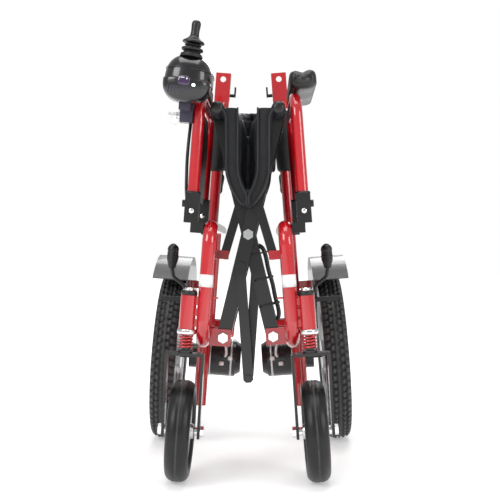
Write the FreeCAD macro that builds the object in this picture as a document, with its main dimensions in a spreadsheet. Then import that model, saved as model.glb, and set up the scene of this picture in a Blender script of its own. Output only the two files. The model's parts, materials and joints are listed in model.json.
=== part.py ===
"""Folding power wheelchair, modelled in its folded state.

Row frame: the chair faces -Y, +X is the chair's own left, which is to the right seen from the
front, +Z up, z = 0 on the floor, and the origin under the middle of the chair. Millimetres.
Node names say left and right as seen from the front, so "left" is -X.

Both side frames lean with their tops inwards while the chair is folded, so everything on a side
frame is drawn in that side's upright frame: x outwards times the side's sign, y as in the row,
z up along the leaning posts. side_placement() then leans and places it.
"""
import FreeCAD, Part
import math
import os

import Sketcher
from FreeCAD import Placement, Rotation, Vector

os.makedirs("parts", exist_ok=True)
doc = FreeCAD.newDocument("power_wheelchair")

# ---------------------------------------------------------------- driving dimensions (mm, deg)

SIZES = {
    "lean": 4.2,                # how far the folded side frames lean inwards
    "frame_foot": 109.0,        # where the leaning frame plane meets the floor, from the middle
    "caster_line": -277.5,      # y of the caster axles
    "wheelbase": 452.0,
    "caster_trail": 40.0,
    "caster_radius": 100.0,
    "caster_width": 50.0,
    "caster_out": 31.0,         # caster centre, outwards of the frame plane
    "drive_radius": 203.0,
    "drive_width": 55.0,
    "drive_out": 102.5,
    "frame_tube": 27.0,         # diameters
    "post_tube": 25.0,
    "arm_tube": 23.0,
    "wall": 2.0,
    "rail_top": 502.0,          # heights along the leaning posts
    "rail_low": 278.0,
    "post_out": 20.0,
    "post_y": 112.5,
    "post_top": 806.0,
    "post_bottom": 86.0,
    "barrel_low": 304.0,
    "barrel_high": 368.0,
    "stem_dia": 16.0,
    "running": 0.05,            # radial running clearance
    "crown_top": 257.0,
    "arm_out": 39.5,
    "arm_front_y": -292.0,
    "arm_rear_y": 30.0,
    "arm_top": 757.0,
    "pivot_half": 50.0,         # lower brace pivots, from the middle, folded
    "pivot_z": 281.0,
    "brace_reach": 212.0,       # lower pivot to centre pivot
    "rail_reach": 252.0,        # centre pivot to seat rail
    "brace_rise": 76.35,        # angle of the folded members above the floor
    "brace_bar": 28.0,
    "brace_front_y": -222.5,
    "brace_rear_y": -12.5,
    "seat_rail": 22.0,
    "seat_front_y": -312.0,
    "seat_rear_y": 75.0,
    "seat_half": 212.0,         # seat rail to crease
    "back_hinge_z": 838.0,
    "back_fold": 150.0,
    "upper_post": 220.0,
    "handle": 92.0,
    "motor_dia": 90.0,
}

sheet = doc.addObject("Spreadsheet::Sheet", "Sizes")
for row, (name, value) in enumerate(SIZES.items(), 1):
    sheet.set(f"A{row}", name)
    sheet.set(f"B{row}", str(value))
    sheet.setAlias(f"B{row}", name)
doc.recompute()


class Dim:
    """A size that carries its value and the spreadsheet expression that drives it."""

    def __init__(self, value, text):
        self.value = value
        self.text = text

    def _join(self, other, sign, value):
        right = other.text if isinstance(other, Dim) else str(other)
        return Dim(value, f"({self.text} {sign} {right})")

    def __add__(self, other):
        return self._join(other, "+", self.value + number(other))

    def __sub__(self, other):
        return self._join(other, "-", self.value - number(other))

    def __mul__(self, other):
        return self._join(other, "*", self.value * number(other))

    def __truediv__(self, other):
        return self._join(other, "/", self.value / number(other))


def number(size):
    """The plain value of a Dim or of a number."""
    return size.value if isinstance(size, Dim) else float(size)


def cell(name):
    """A driving dimension as a Dim."""
    return Dim(sheet.get(name), f"Sizes.{name}")


def mm(name):
    """A driving dimension as a plain number."""
    return float(sheet.get(name))


# ---------------------------------------------------------------- derived places

LEAN = math.radians(mm("lean"))
RISE = math.radians(mm("brace_rise"))
STEM_Y = mm("caster_line") - mm("caster_trail")
DRIVE_Y = mm("caster_line") + mm("wheelbase")
CASTER_Z = mm("caster_radius") - (mm("caster_out") - 5.0) * math.tan(LEAN)    # 5, 8.5: half the
DRIVE_Z = mm("drive_radius") - (mm("drive_out") - 8.5) * math.tan(LEAN)       # flat of each tread
SIDES = (("left", -1), ("right", 1))
CROSS_Z = mm("pivot_z") + mm("brace_reach") * math.sin(RISE)
RAIL_X = mm("rail_reach") * math.cos(RISE)
RAIL_Z = CROSS_Z + mm("rail_reach") * math.sin(RISE)


def side_placement(sign):
    """Leans a side's upright frame inwards at the top and stands it beside the middle."""
    turn = Rotation(Vector(0, 1, 0), -sign * mm("lean"))
    return Placement(Vector(sign * mm("frame_foot"), 0, 0), turn)


def in_side(sign, x, y, z):
    """A row-frame point seen in a side's upright frame."""
    return side_placement(sign).inverse().multVec(Vector(x, y, z))


# ---------------------------------------------------------------- makers

nodes = []


def keep(obj, label, place=None):
    """Names a finished sub-part and puts it in its place."""
    obj.Label = label
    if place is not None:
        obj.Placement = place
    nodes.append(obj)
    return obj


def raw(label, shape, place=None):
    """A sub-part whose shape comes straight from Part's own functions."""
    obj = doc.addObject("Part::Feature", label)
    obj.Shape = shape.removeSplitter()
    return keep(obj, label, place)


def origin_plane(body, role):
    return [item for item in body.Origin.OriginFeatures if item.Role == role][0]


def outline_sketch(body, plane, points):
    """A closed outline of straight lines whose corners are held by the spreadsheet."""
    sketch = body.newObject("Sketcher::SketchObject", body.Name + "_outline")
    sketch.AttachmentSupport = (origin_plane(body, plane), "")
    sketch.MapMode = "FlatFace"
    count = len(points)
    corners = [Vector(number(x), number(y), 0) for x, y in points]
    for i in range(count):
        sketch.addGeometry(Part.LineSegment(corners[i], corners[(i + 1) % count]), False)
    for i in range(count):
        sketch.addConstraint(Sketcher.Constraint("Coincident", i, 2, (i + 1) % count, 1))
    for i, (x, y) in enumerate(points):
        for kind, axis, size in (("DistanceX", -2, x), ("DistanceY", -1, y)):
            if abs(number(size)) < 1e-9:
                sketch.addConstraint(Sketcher.Constraint("PointOnObject", i, 1, axis))
                continue
            spot = sketch.addConstraint(Sketcher.Constraint(kind, -1, 1, i, 1, number(size)))
            if isinstance(size, Dim):
                sketch.setExpression(f"Constraints[{spot}]", size.text)
    return sketch


def spun(label, points, place=None, owner=None):
    """A body turned about its own X axis from an outline of (along, radius) corners."""
    body = owner or doc.addObject("PartDesign::Body", label)
    sketch = outline_sketch(body, "XY_Plane", points)
    turned = body.newObject("PartDesign::Revolution", body.Name + "_turned")
    turned.Profile = sketch
    turned.ReferenceAxis = (sketch, ["H_Axis"])
    turned.Angle = 360
    return keep(body, label, place)


def padded(label, plane, points, length, place=None, middle=False):
    """A body padded from an outline; length is a Dim or a number."""
    body = doc.addObject("PartDesign::Body", label)
    sketch = outline_sketch(body, plane, points)
    pad = body.newObject("PartDesign::Pad", body.Name + "_pad")
    pad.Profile = sketch
    pad.Length = number(length)
    if isinstance(length, Dim):
        pad.setExpression("Length", length.text)
    if middle:
        pad.Midplane = True
    return keep(body, label, place)


def box(low, high):
    """A block between two corners, given in any order."""
    a = Vector(*[min(p, q) for p, q in zip(low, high)])
    b = Vector(*[max(p, q) for p, q in zip(low, high)])
    return Part.makeBox(b.x - a.x, b.y - a.y, b.z - a.z, a)


def rod(start, end, radius):
    """A round bar from one point to another."""
    a, b = Vector(*start), Vector(*end)
    return Part.makeCylinder(radius, (b - a).Length, a, b - a)


def path(points, bends):
    """A wire of straight runs joined by tangent arcs; bends holds one radius per inner point."""
    spots = [Vector(*p) for p in points]
    edges = []
    here = spots[0]
    for before, corner, after, radius in zip(spots, spots[1:], spots[2:], bends):
        back = (before - corner).normalize()
        on = (after - corner).normalize()
        half = (math.pi - back.getAngle(on)) / 2
        reach = radius * math.tan(half)
        start, end = corner + back * reach, corner + on * reach
        middle = (back + on).normalize()
        centre = corner + middle * (radius / math.cos(half))
        top = centre - middle * radius
        if (start - here).Length > 1e-6:
            edges.append(Part.LineSegment(here, start).toShape())
        edges.append(Part.Arc(start, top, end).toShape())
        here = end
    edges.append(Part.LineSegment(here, spots[-1]).toShape())
    return Part.Wire(edges)


def swept(wire, radius):
    """A solid round section carried along a wire."""
    first = wire.Edges[0]
    start = first.valueAt(first.FirstParameter)
    ahead = first.tangentAt(first.FirstParameter)
    ring = Part.Wire(Part.Circle(start, ahead, radius).toShape())
    return wire.makePipeShell([ring], True, True)


def fused(shapes):
    whole = shapes[0].multiFuse(shapes[1:]) if len(shapes) > 1 else shapes[0]
    return whole.removeSplitter()


def grouped(shapes):
    """Separate solids that share one node."""
    return Part.makeCompound(shapes)


def hexagon(centre, axis, across, height):
    """A hexagonal nut or bolt head standing on centre."""
    a = Vector(*axis).normalize()
    side = a.cross(Vector(0, 1, 0))
    if side.Length < 0.1:
        side = a.cross(Vector(1, 0, 0))
    side.normalize()
    other = a.cross(side)
    radius = across / math.sqrt(3)
    ring = [Vector(*centre) + side * radius * math.cos(math.radians(k * 60))
            + other * radius * math.sin(math.radians(k * 60)) for k in range(7)]
    return Part.Face(Part.makePolygon(ring)).extrude(a * height)


def plate(points, normal):
    """A flat plate: a closed outline of row-frame points thickened along normal."""
    ring = [Vector(*p) for p in points]
    return Part.Face(Part.makePolygon(ring + [ring[0]])).extrude(Vector(*normal))


# ---------------------------------------------------------------- side frames


def brace_slices(front):
    """The y ranges of the two crossing bars of one brace, front bar first."""
    y = mm("brace_front_y") if front else mm("brace_rear_y")
    return (y - 2 - mm("brace_bar"), y - 2), (y + 2, y + 2 + mm("brace_bar"))


def frame_tubes(sign, shrink):
    """The main loop, the post, the strut and the wheel stubs, thinner by shrink all round."""
    high, low = mm("rail_top"), mm("rail_low")
    end = mm("post_y") + 4
    out = sign * mm("post_out")
    loop = path([(0, end, high), (0, STEM_Y, high), (0, STEM_Y, low), (0, end, low)], [34, 42])
    strut_y = mm("caster_line") + 200
    post = mm("post_tube") / 2 - shrink
    return [
        swept(loop, mm("frame_tube") / 2 - shrink),
        rod((out, mm("post_y"), mm("post_bottom")), (out, mm("post_y"), mm("post_top")), post),
        rod((0, strut_y, low), (0, strut_y, high), 11 - shrink),
    ]


def brace_brackets(sign):
    """Pairs of plates from the lower rail to the lower brace pivots, with their bolt holes."""
    pivot = in_side(sign, sign * mm("pivot_half"), 0, mm("pivot_z"))
    plates = []
    for front in (True, False):
        low, high = brace_slices(front)[0 if sign < 0 else 1]
        for y in (low - 6.5, high + 1.5):
            wall = box((sign * 4, y, pivot.z - 17), (pivot.x - sign * 15, y + 5, pivot.z + 17))
            hole = rod((pivot.x, y - 1, pivot.z), (pivot.x, y + 6, pivot.z),
                       6 + mm("running"))
            plates.append(wall.cut(hole))
    return plates


def hinge_channel(sign):
    """The U-shaped bracket on top of a post: web in front, cheeks behind, lock and pin holes."""
    x, y = sign * mm("post_out"), mm("post_y")
    web = box((x - 17.5, y - 4, 790), (x + 17.5, y, 876))
    cheeks = [box((x + side * 17.5, y - 4, 812), (x + side * 14, y + 26, 876)) for side in (-1, 1)]
    hole = rod((x, y - 10, 861), (x, y + 2, 861), 6.75)
    pin = rod((x - 30, y + 13, mm("back_hinge_z")), (x + 30, y + 13, mm("back_hinge_z")), 4.05)
    return fused([web] + cheeks).cut(hole).cut(pin)


def side_frame(sign):
    """One welded side frame: tubes, caster barrel, plates and brackets."""
    out = sign * mm("caster_out")
    barrel = rod((out, STEM_Y, mm("barrel_low") - 13), (out, STEM_Y, mm("barrel_high")), 15.5)
    welds = [box((0, STEM_Y - 6, z), (out, STEM_Y + 6, z + 14)) for z in (308, 329, 350)]
    sleeve = rod((sign * mm("post_out"), mm("post_y"), mm("post_bottom")),
                 (sign * mm("post_out"), mm("post_y"), 320), 15.5)
    motor_plate = box((sign * 10, 60, 145), (sign * 17, 218, 292))
    stub_y = mm("caster_line") + 200
    stub = rod((0, stub_y, 345), (sign * 56, stub_y, 345), 9)
    ear = box((sign * 50, stub_y - 10, 334), (sign * 56, stub_y + 32, 358))
    guard_arm = box((sign * 20, mm("post_y") - 4, 362), (sign * 62.5, mm("post_y") + 4, 380))
    link_y = link_slice(sign)
    link_spot = in_side(sign, sign * mm("pivot_half"), 0, LINK_FOOT_Z)
    arm = [box((sign * -4, STEM_Y, link_spot.z - 9), (sign * -13, link_y[0] - 1, link_spot.z + 9)),
           box((sign * -4, link_y[0] - 7, link_spot.z - 9),
               (link_spot.x - sign * 9, link_y[0] - 1, link_spot.z + 9))]
    catch = rod((0, STEM_Y, 366), (sign * -26, STEM_Y, 366), 1.8)
    tubes = frame_tubes(sign, 0)
    whole = fused(tubes + [barrel, sleeve, motor_plate, stub, ear, guard_arm, catch,
                           hinge_channel(sign)] + welds + arm + brace_brackets(sign))
    hollow = fused(frame_tubes(sign, mm("wall")))
    whole = whole.cut(hollow)
    stem_bore = mm("stem_dia") / 2 + mm("running")
    cuts = [
        rod((out, STEM_Y, 280), (out, STEM_Y, 380), stem_bore),
        rod((0, DRIVE_Y, DRIVE_Z), (sign * 30, DRIVE_Y, DRIVE_Z), 30.3),
        rod((sign * 49, stub_y + 20, 345), (sign * 57, stub_y + 20, 345), 4.05),
    ]
    for cutter in cuts:
        whole = whole.cut(cutter)
    return whole


LINK_FOOT_Z = mm("pivot_z") + 165


def link_slice(sign):
    """The y range of a side's front link arm, just outside the bar that it holds."""
    low, high = brace_slices(True)[0][0], brace_slices(True)[1][1]
    return (high + 2.5, high + 7.5) if sign < 0 else (low - 7.5, low - 2.5)


def drive_unit(sign):
    """Hub motor: black can, gearbox nose, wheel shaft and a domed inner end."""
    half = mm("motor_dia") / 2
    start, end = -56, 9.5
    can = rod((sign * start, DRIVE_Y, DRIVE_Z), (sign * end, DRIVE_Y, DRIVE_Z), half)
    nose = rod((sign * end, DRIVE_Y, DRIVE_Z), (sign * 56, DRIVE_Y, DRIVE_Z), 30)
    cap = Part.makeCone(half - 3, 34, 13, Vector(sign * start, DRIVE_Y, DRIVE_Z), Vector(-sign, 0, 0))
    shaft = rod((sign * 56, DRIVE_Y, DRIVE_Z), (sign * 132, DRIVE_Y, DRIVE_Z), 8)
    return fused([can, nose, cap, shaft])


def mudguard(sign):
    """An arched sheet over the drive wheel with a skirt down its inner edge."""
    radius, sheet_wall = 235.0, 3.0
    start, sweep = -38.0, 96.0
    arch = Part.makeCylinder(radius + sheet_wall, 81, Vector(0, 0, 0), Vector(1, 0, 0))
    arch = arch.cut(Part.makeCylinder(radius, 81, Vector(0, 0, 0), Vector(1, 0, 0)))
    skirt = Part.makeCylinder(radius + 1, sheet_wall, Vector(0, 0, 0), Vector(1, 0, 0))
    skirt = skirt.cut(Part.makeCylinder(radius - 62, sheet_wall, Vector(0, 0, 0), Vector(1, 0, 0)))
    if sign < 0:
        skirt.translate(Vector(81 - sheet_wall, 0, 0))
    keeper = [Vector(0, 0, 0)]
    for k in range(9):
        turn = math.radians(start + sweep * k / 8)
        keeper.append(Vector(0, 500 * math.sin(turn), 500 * math.cos(turn)))
    wedge = Part.Face(Part.makePolygon(keeper + [keeper[0]])).extrude(Vector(81, 0, 0))
    shape = arch.fuse(skirt).common(wedge)
    shape.translate(Vector(63 if sign > 0 else -144, DRIVE_Y, DRIVE_Z))
    return shape


def brake_lever(sign):
    """Wheel-lock lever: a pivot boss and flat rod, with the bulb grip on the end."""
    y = mm("caster_line") + 220
    x = sign * 61
    boss = rod((sign * 56.5, y, 345), (sign * 64, y, 345), 11)
    pin = rod((sign * 49.5, y, 345), (sign * 56.5, y, 345), 4)
    wire = path([(x, y, 345), (x, y - 2, 372), (sign * 88, y - 6, 392), (sign * 92, y - 8, 410)],
                [12, 10])
    bar = swept(wire, 4.2)
    shoe = box((sign * 60, y - 2, 338), (sign * 112, y + 8, 348))
    steel = fused([boss, pin, bar, shoe])
    grip = Part.makeCone(7.5, 12.5, 40, Vector(sign * 92, y - 8, 411), Vector(0, 0, 1))
    dome = Part.makeSphere(12.5, Vector(sign * 92, y - 8, 451))
    return grouped([steel, fused([grip, dome])])


def armrest_socket(sign):
    """Front and rear clamp blocks on the upper rail, each bored for an armrest leg."""
    blocks = []
    for y in (mm("arm_front_y"), mm("arm_rear_y")):
        x = sign * mm("arm_out")
        block = box((x - 14, y - 14, 496), (x + 14, y + 14, 566))
        corner = Part.makeBox(30, 40, 30, Vector(x + sign * 14 - 15, y - 20, 478))
        block = block.cut(corner)
        saddle = box((sign * 13.8, y - 14, 489), (x, y + 14, 509))
        knob = rod((x + sign * 14, y, 545), (x + sign * 20, y, 545), 7)
        block = fused([block, saddle, knob])
        bore = rod((x, y, 510), (x, y, 570), mm("arm_tube") / 2 + mm("running"))
        blocks.append(block.cut(bore))
    return grouped(blocks)


def armrest(sign):
    """The bent armrest tube with its two legs."""
    x = sign * mm("arm_out")
    front, rear, top = mm("arm_front_y"), mm("arm_rear_y"), mm("arm_top")
    wire = path([(x, front, 512), (x, front, top), (x, rear, top), (x, rear, 512)], [42, 42])
    solid = swept(wire, mm("arm_tube") / 2)
    return solid.cut(swept(wire, mm("arm_tube") / 2 - mm("wall")))


def upper_back(sign):
    """The folded upper back post, hanging down behind, with its rearward handle bent under."""
    turn = math.radians(mm("back_fold"))
    root = Vector(sign * mm("post_out"), mm("post_y") + 13, mm("back_hinge_z"))

    def folded(back, up):
        """A point of the upright post, turned backwards about the hinge pin."""
        return (root.x, root.y + back * math.cos(turn) + up * math.sin(turn),
                root.z - back * math.sin(turn) + up * math.cos(turn))

    wire = path([folded(0, -5), folded(0, mm("upper_post")),
                 folded(mm("handle"), mm("upper_post"))], [34])
    post = swept(wire, 11).cut(swept(wire, 9))
    pin_hole = rod((root.x - 20, root.y, root.z), (root.x + 20, root.y, root.z), 4)
    start, end = Vector(*folded(26, mm("upper_post"))), Vector(*folded(mm("handle") + 4,
                                                                       mm("upper_post")))
    grip = Part.makeCylinder(15, (end - start).Length, start, end - start)
    grip = grip.cut(Part.makeCylinder(11.02, (end - start).Length - 4, start, end - start))
    pin = rod((root.x - 17.5, root.y, root.z), (root.x + 17.5, root.y, root.z), 4)
    return post.cut(pin_hole), grip, pin


def release_lever(sign):
    """The small lever beside the back hinge, on its own stub pin."""
    x, y, z = sign * (mm("post_out") - 17.8), mm("post_y") + 13, 826
    stub = rod((x, y, z), (x - sign * 14, y, z), 4)
    blade = box((x - sign * 10, y - 5, z - 4), (x - sign * 14, y + 5, z + 20))
    return fused([stub, blade])


for side, sign in SIDES:
    lean_place = side_placement(sign)
    raw(f"side_frame_{side}", side_frame(sign), lean_place)
    raw(f"drive_motor_{side}", drive_unit(sign), lean_place)
    raw(f"mudguard_{side}", mudguard(sign), lean_place)
    raw(f"brake_lever_{side}", brake_lever(sign), lean_place)
    raw(f"armrest_socket_{side}", armrest_socket(sign), lean_place)
    raw(f"armrest_tube_{side}", armrest(sign), lean_place)
    post, grip, pin = upper_back(sign)
    raw(f"upper_back_post_{side}", grouped([post, pin]), lean_place)
    raw(f"push_grip_{side}", grip, lean_place)
    raw(f"back_release_lever_{side}", release_lever(sign), lean_place)

# ---------------------------------------------------------------- wheels and casters

caster_r, caster_half = cell("caster_radius"), cell("caster_width") / 2
drive_r, drive_half = cell("drive_radius"), cell("drive_width") / 2

CASTER_TYRE = [
    (caster_half * -1 + 5, caster_r - 32), (caster_half - 5, caster_r - 32),
    (caster_half - 1, caster_r - 26), (caster_half, caster_r - 16), (caster_half - 4, caster_r - 7),
    (caster_half - 13, caster_r - 1.5), (caster_half - 20, caster_r),
    (caster_half * -1 + 20, caster_r), (caster_half * -1 + 13, caster_r - 1.5),
    (caster_half * -1 + 4, caster_r - 7), (caster_half * -1, caster_r - 16),
    (caster_half * -1 + 1, caster_r - 26),
]
CASTER_RIM = [
    (-25, 6.05), (25, 6.05), (25, 14), (12, 18), (5, 24), (5, caster_r - 44),
    (16, caster_r - 36), (16, caster_r - 32.2), (-16, caster_r - 32.2), (-16, caster_r - 36),
    (-5, caster_r - 44), (-5, 24), (-12, 18), (-25, 14),
]
DRIVE_TYRE = [
    (drive_half * -1 + 9, drive_r - 46), (drive_half - 9, drive_r - 46),
    (drive_half - 2, drive_r - 34), (drive_half, drive_r - 22), (drive_half - 3.5, drive_r - 11),
    (drive_half - 10, drive_r - 3.5), (drive_half - 19, drive_r),
    (drive_half * -1 + 19, drive_r), (drive_half * -1 + 10, drive_r - 3.5),
    (drive_half * -1 + 3.5, drive_r - 11), (drive_half * -1, drive_r - 22),
    (drive_half * -1 + 2, drive_r - 34),
]
DRIVE_RIM = [
    (-22, drive_r - 62), (-17, drive_r - 62), (-13, drive_r - 56), (13, drive_r - 56),
    (17, drive_r - 62), (22, drive_r - 62), (22, drive_r - 46.2), (-22, drive_r - 46.2),
]


def fork_shapes(sign):
    """The strapped fork with its stem, and the chromed axle, nuts and washers it carries."""
    x = sign * mm("caster_out")
    top, half, axle_y = mm("crown_top"), 38.0, mm("caster_line")
    crown = box((x - half, STEM_Y - 17, top - 6), (x + half, STEM_Y + 17, top))
    stem = rod((x, STEM_Y, top - 6), (x, STEM_Y, mm("barrel_high") + 8), mm("stem_dia") / 2)
    cup = rod((x, STEM_Y, top), (x, STEM_Y, top + 5), 15)
    legs = []
    for side in (-1, 1):
        ring = [(x + side * half, STEM_Y - 17, top), (x + side * half, STEM_Y + 17, top),
                (x + side * half, axle_y + 15, CASTER_Z + 8), (x + side * half, axle_y + 8,
                                                               CASTER_Z - 14),
                (x + side * half, axle_y - 8, CASTER_Z - 14),
                (x + side * half, axle_y - 15, CASTER_Z + 8)]
        legs.append(plate(ring, (-side * 5.5, 0, 0)))
    axle_line = ((x - 48, axle_y, CASTER_Z), (x + 48, axle_y, CASTER_Z))
    fork = fused([crown, stem, cup] + legs).cut(rod(*axle_line, 6))
    rounding = [edge for edge in fork.Edges
                if edge.BoundBox.ZMin > top - 0.1 and edge.BoundBox.YLength > 30
                and edge.BoundBox.XLength < 0.1]
    fork = fork.makeFillet(5.0, rounding) if rounding else fork
    axle = rod((x - 45, axle_y, CASTER_Z), (x + 45, axle_y, CASTER_Z), 6)
    nuts = [hexagon((x + side * 38.2, axle_y, CASTER_Z), (side, 0, 0), 19, 7) for side in (-1, 1)]
    spacers = [rod((x + side * 25.4, axle_y, CASTER_Z), (x + side * 32.3, axle_y, CASTER_Z), 9)
               for side in (-1, 1)]
    over = mm("barrel_high") + 0.4
    washer = rod((x, STEM_Y, over), (x, STEM_Y, over + 2.2), 14.5)
    nut = hexagon((x, STEM_Y, over + 2.2), (0, 0, 1), 22, 8)
    bore = rod((x, STEM_Y, over - 1), (x, STEM_Y, over + 12), mm("stem_dia") / 2)
    return fork, grouped([fused([axle] + nuts + spacers), fused([washer, nut]).cut(bore)])


def coil_spring(sign):
    """The suspension spring: four turns of round wire round the stem."""
    turns, low, high, wire_r, coil_r = 4, mm("crown_top") + 7.4, mm("barrel_low") - 15.4, 2.2, 12.2
    height = high - low
    helix = Part.makeLongHelix(height / turns, height, coil_r)
    ring = Part.Wire(Part.Circle(Vector(coil_r, 0, 0), Vector(0, 1, 0), wire_r).toShape())
    coil = Part.Wire(helix.Edges).makePipeShell([ring], True, True)
    coil.translate(Vector(sign * mm("caster_out"), STEM_Y, low))
    return coil


def spoked(label, place):
    """The drive wheel's cast rim: a turned rim, a hub bored for the shaft, and six spokes."""
    body = doc.addObject("PartDesign::Body", label + "_rim")
    spun(label + "_rim", DRIVE_RIM, None, body)
    nodes.pop()
    doc.recompute()
    rim = body.Shape.copy()
    hub = rod((-26, 0, 0), (26, 0, 0), 34)
    arms = []
    for k in range(6):
        arm = box((-7, -11, 25), (7, 11, mm("drive_radius") - 57))
        arm.rotate(Vector(0, 0, 0), Vector(1, 0, 0), 60 * k)
        arms.append(arm)
    wheel = fused([rim, hub] + arms)
    wheel = wheel.cut(rod((-30, 0, 0), (30, 0, 0), 8 + mm("running")))
    return raw(label, wheel, place)


for side, sign in SIDES:
    lean_place = side_placement(sign)
    fork, fasteners = fork_shapes(sign)
    raw(f"caster_fork_{side}", fork, lean_place)
    raw(f"caster_fasteners_{side}", fasteners, lean_place)
    raw(f"caster_spring_{side}", coil_spring(sign), lean_place)
    caster_spot = Placement(Vector(sign * mm("caster_out"), mm("caster_line"), CASTER_Z), Rotation())
    drive_spot = Placement(Vector(sign * mm("drive_out"), DRIVE_Y, DRIVE_Z), Rotation())
    spun(f"caster_tyre_{side}", CASTER_TYRE, lean_place.multiply(caster_spot))
    spun(f"caster_rim_{side}", CASTER_RIM, lean_place.multiply(caster_spot))
    spun(f"drive_tyre_{side}", DRIVE_TYRE, lean_place.multiply(drive_spot))
    spoked(f"drive_rim_{side}", lean_place.multiply(drive_spot))

# ---------------------------------------------------------------- folding brace


def along(start, angle, distance):
    """A point at a distance from start, angle measured in the x-z plane from +X."""
    return (start[0] + distance * math.cos(angle), start[1] + distance * math.sin(angle))


def cross_brace(sign):
    """One half of the folding cross: two bars from a lower pivot up to the seat rail it carries.

    The half whose lower pivot is on the left (sign -1) carries the right-hand seat rail.
    """
    foot = (sign * mm("pivot_half"), mm("pivot_z"))
    angle = RISE if sign < 0 else math.pi - RISE
    head = along(foot, angle, mm("brace_reach") + mm("rail_reach"))
    crossing = along(foot, angle, mm("brace_reach"))
    half = mm("brace_bar") / 2
    side = Vector(-math.sin(angle), 0, math.cos(angle)) * half
    bolt_r = 6.0
    pieces, cuts = [], []
    for front in (True, False):
        low, high = brace_slices(front)[0 if sign < 0 else 1]
        start, end = along(foot, angle, -16), along(foot, angle, mm("brace_reach")
                                                    + mm("rail_reach") - 6)
        ring = [(Vector(p[0], low, p[1]) + side * k)[:] for p, k in
                ((start, -1), (end, -1), (end, 1), (start, 1))]
        pieces.append(plate(ring, (0, high - low, 0)))
        for spot in (foot, crossing):
            cuts.append(rod((spot[0], low - 1, spot[1]), (spot[0], high + 1, spot[1]), bolt_r
                            + mm("running")))
    rail = rod((head[0], mm("seat_front_y"), head[1]), (head[0], mm("seat_rear_y"), head[1]),
               mm("seat_rail") / 2)
    core = rod((head[0], mm("seat_front_y") - 1, head[1]), (head[0], mm("seat_rear_y") + 1, head[1]),
               mm("seat_rail") / 2 - mm("wall"))
    whole = fused(pieces + [rail]).cut(core)
    for cutter in cuts:
        whole = whole.cut(cutter)
    return whole


def pivot_bolts(spots, y_ranges, head_across):
    """Bolts along y through the brace pivots, each with a head in front and a nut behind."""
    bolts = []
    for (x, z), (low, high) in zip(spots, y_ranges):
        shank = rod((x, low - 2, z), (x, high + 2, z), 6)
        head = hexagon((x, low - 0.4, z), (0, -1, 0), head_across, 6)
        nut = hexagon((x, high + 0.4, z), (0, 1, 0), head_across, 6)
        bolts.append(fused([shank, head, nut]))
    return grouped(bolts)


def bar_between(start, end, y_low, y_high, width, reach=9.0):
    """A flat bar with rounded-off ends that runs past both of its pivots."""
    a, b = Vector(start[0], y_low, start[1]), Vector(end[0], y_low, end[1])
    on = (b - a).normalize()
    side = Vector(-on.z, 0, on.x) * (width / 2)
    ring = [a - on * reach * 0.4 + side, a - on * reach + side * 0.5, a - on * reach - side * 0.5,
            a - on * reach * 0.4 - side, b + on * reach * 0.4 - side, b + on * reach - side * 0.5,
            b + on * reach + side * 0.5, b + on * reach * 0.4 + side]
    return plate([p[:] for p in ring], (0, y_high - y_low, 0))


def link_arm(sign):
    """The short arm that steadies a side frame against the cross-brace bar beside it."""
    low, high = link_slice(sign)
    foot = (sign * mm("pivot_half"), LINK_FOOT_Z)
    upper = (sign * LINK_PIN[0], LINK_PIN[1])
    bar = bar_between(foot, upper, low, high, 18)
    stud = rod((foot[0], low - 0.5, foot[1]), (foot[0], low, foot[1]), 5)
    return fused([bar, stud])


# the link's upper pin lies on the opposite-footed bar, this far above the centre pivot
LINK_ABOVE = 71.8
LINK_PIN = (LINK_ABOVE * math.cos(RISE), CROSS_Z + LINK_ABOVE * math.sin(RISE))
STRETCH_BELOW = 66.0
STRETCH_LENGTH = 223.0
STRETCH_TOP = (STRETCH_BELOW * math.cos(RISE), CROSS_Z - STRETCH_BELOW * math.sin(RISE))
STRETCH_FOOT_Z = STRETCH_TOP[1] - math.sqrt(STRETCH_LENGTH ** 2 - STRETCH_TOP[0] ** 2)


def stretcher(sign):
    """One bar of the folding stretcher under the brace; the left one carries the long foot pin."""
    low, high = brace_slices(True)[0][0], brace_slices(True)[1][1]
    y = (low - 6, low - 1) if sign < 0 else (high + 1, high + 6)
    top = (sign * STRETCH_TOP[0], STRETCH_TOP[1])
    bar = bar_between(top, (0, STRETCH_FOOT_Z), y[0], y[1], 20)
    if sign < 0:
        pin = rod((0, y[0] - 5, STRETCH_FOOT_Z), (0, high - 1, STRETCH_FOOT_Z), 7)
        return fused([bar, pin])
    return bar


for side, sign in SIDES:
    raw(f"cross_brace_{side}", cross_brace(sign))
    raw(f"link_arm_{side}", link_arm(sign))
    raw(f"stretcher_bar_{side}", stretcher(sign))

front_a, front_b = brace_slices(True)
rear_a, rear_b = brace_slices(False)
left_foot = (-mm("pivot_half"), mm("pivot_z"))
right_foot = (mm("pivot_half"), mm("pivot_z"))
gap = 6.5
raw("pivot_bolts_left", pivot_bolts(
    [(0, CROSS_Z), (0, CROSS_Z), left_foot, left_foot],
    [(front_a[0], front_b[1]), (rear_a[0], rear_b[1]),
     (front_a[0] - gap, front_a[1] + gap), (rear_a[0] - gap, rear_a[1] + gap)], 19))
raw("pivot_bolts_right", pivot_bolts(
    [right_foot, right_foot],
    [(front_b[0] - gap, front_b[1] + gap), (rear_b[0] - gap, rear_b[1] + gap)], 19))

# ---------------------------------------------------------------- seat and back upholstery

CREASE_Z = RAIL_Z - math.sqrt(mm("seat_half") ** 2 - RAIL_X ** 2)


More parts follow.
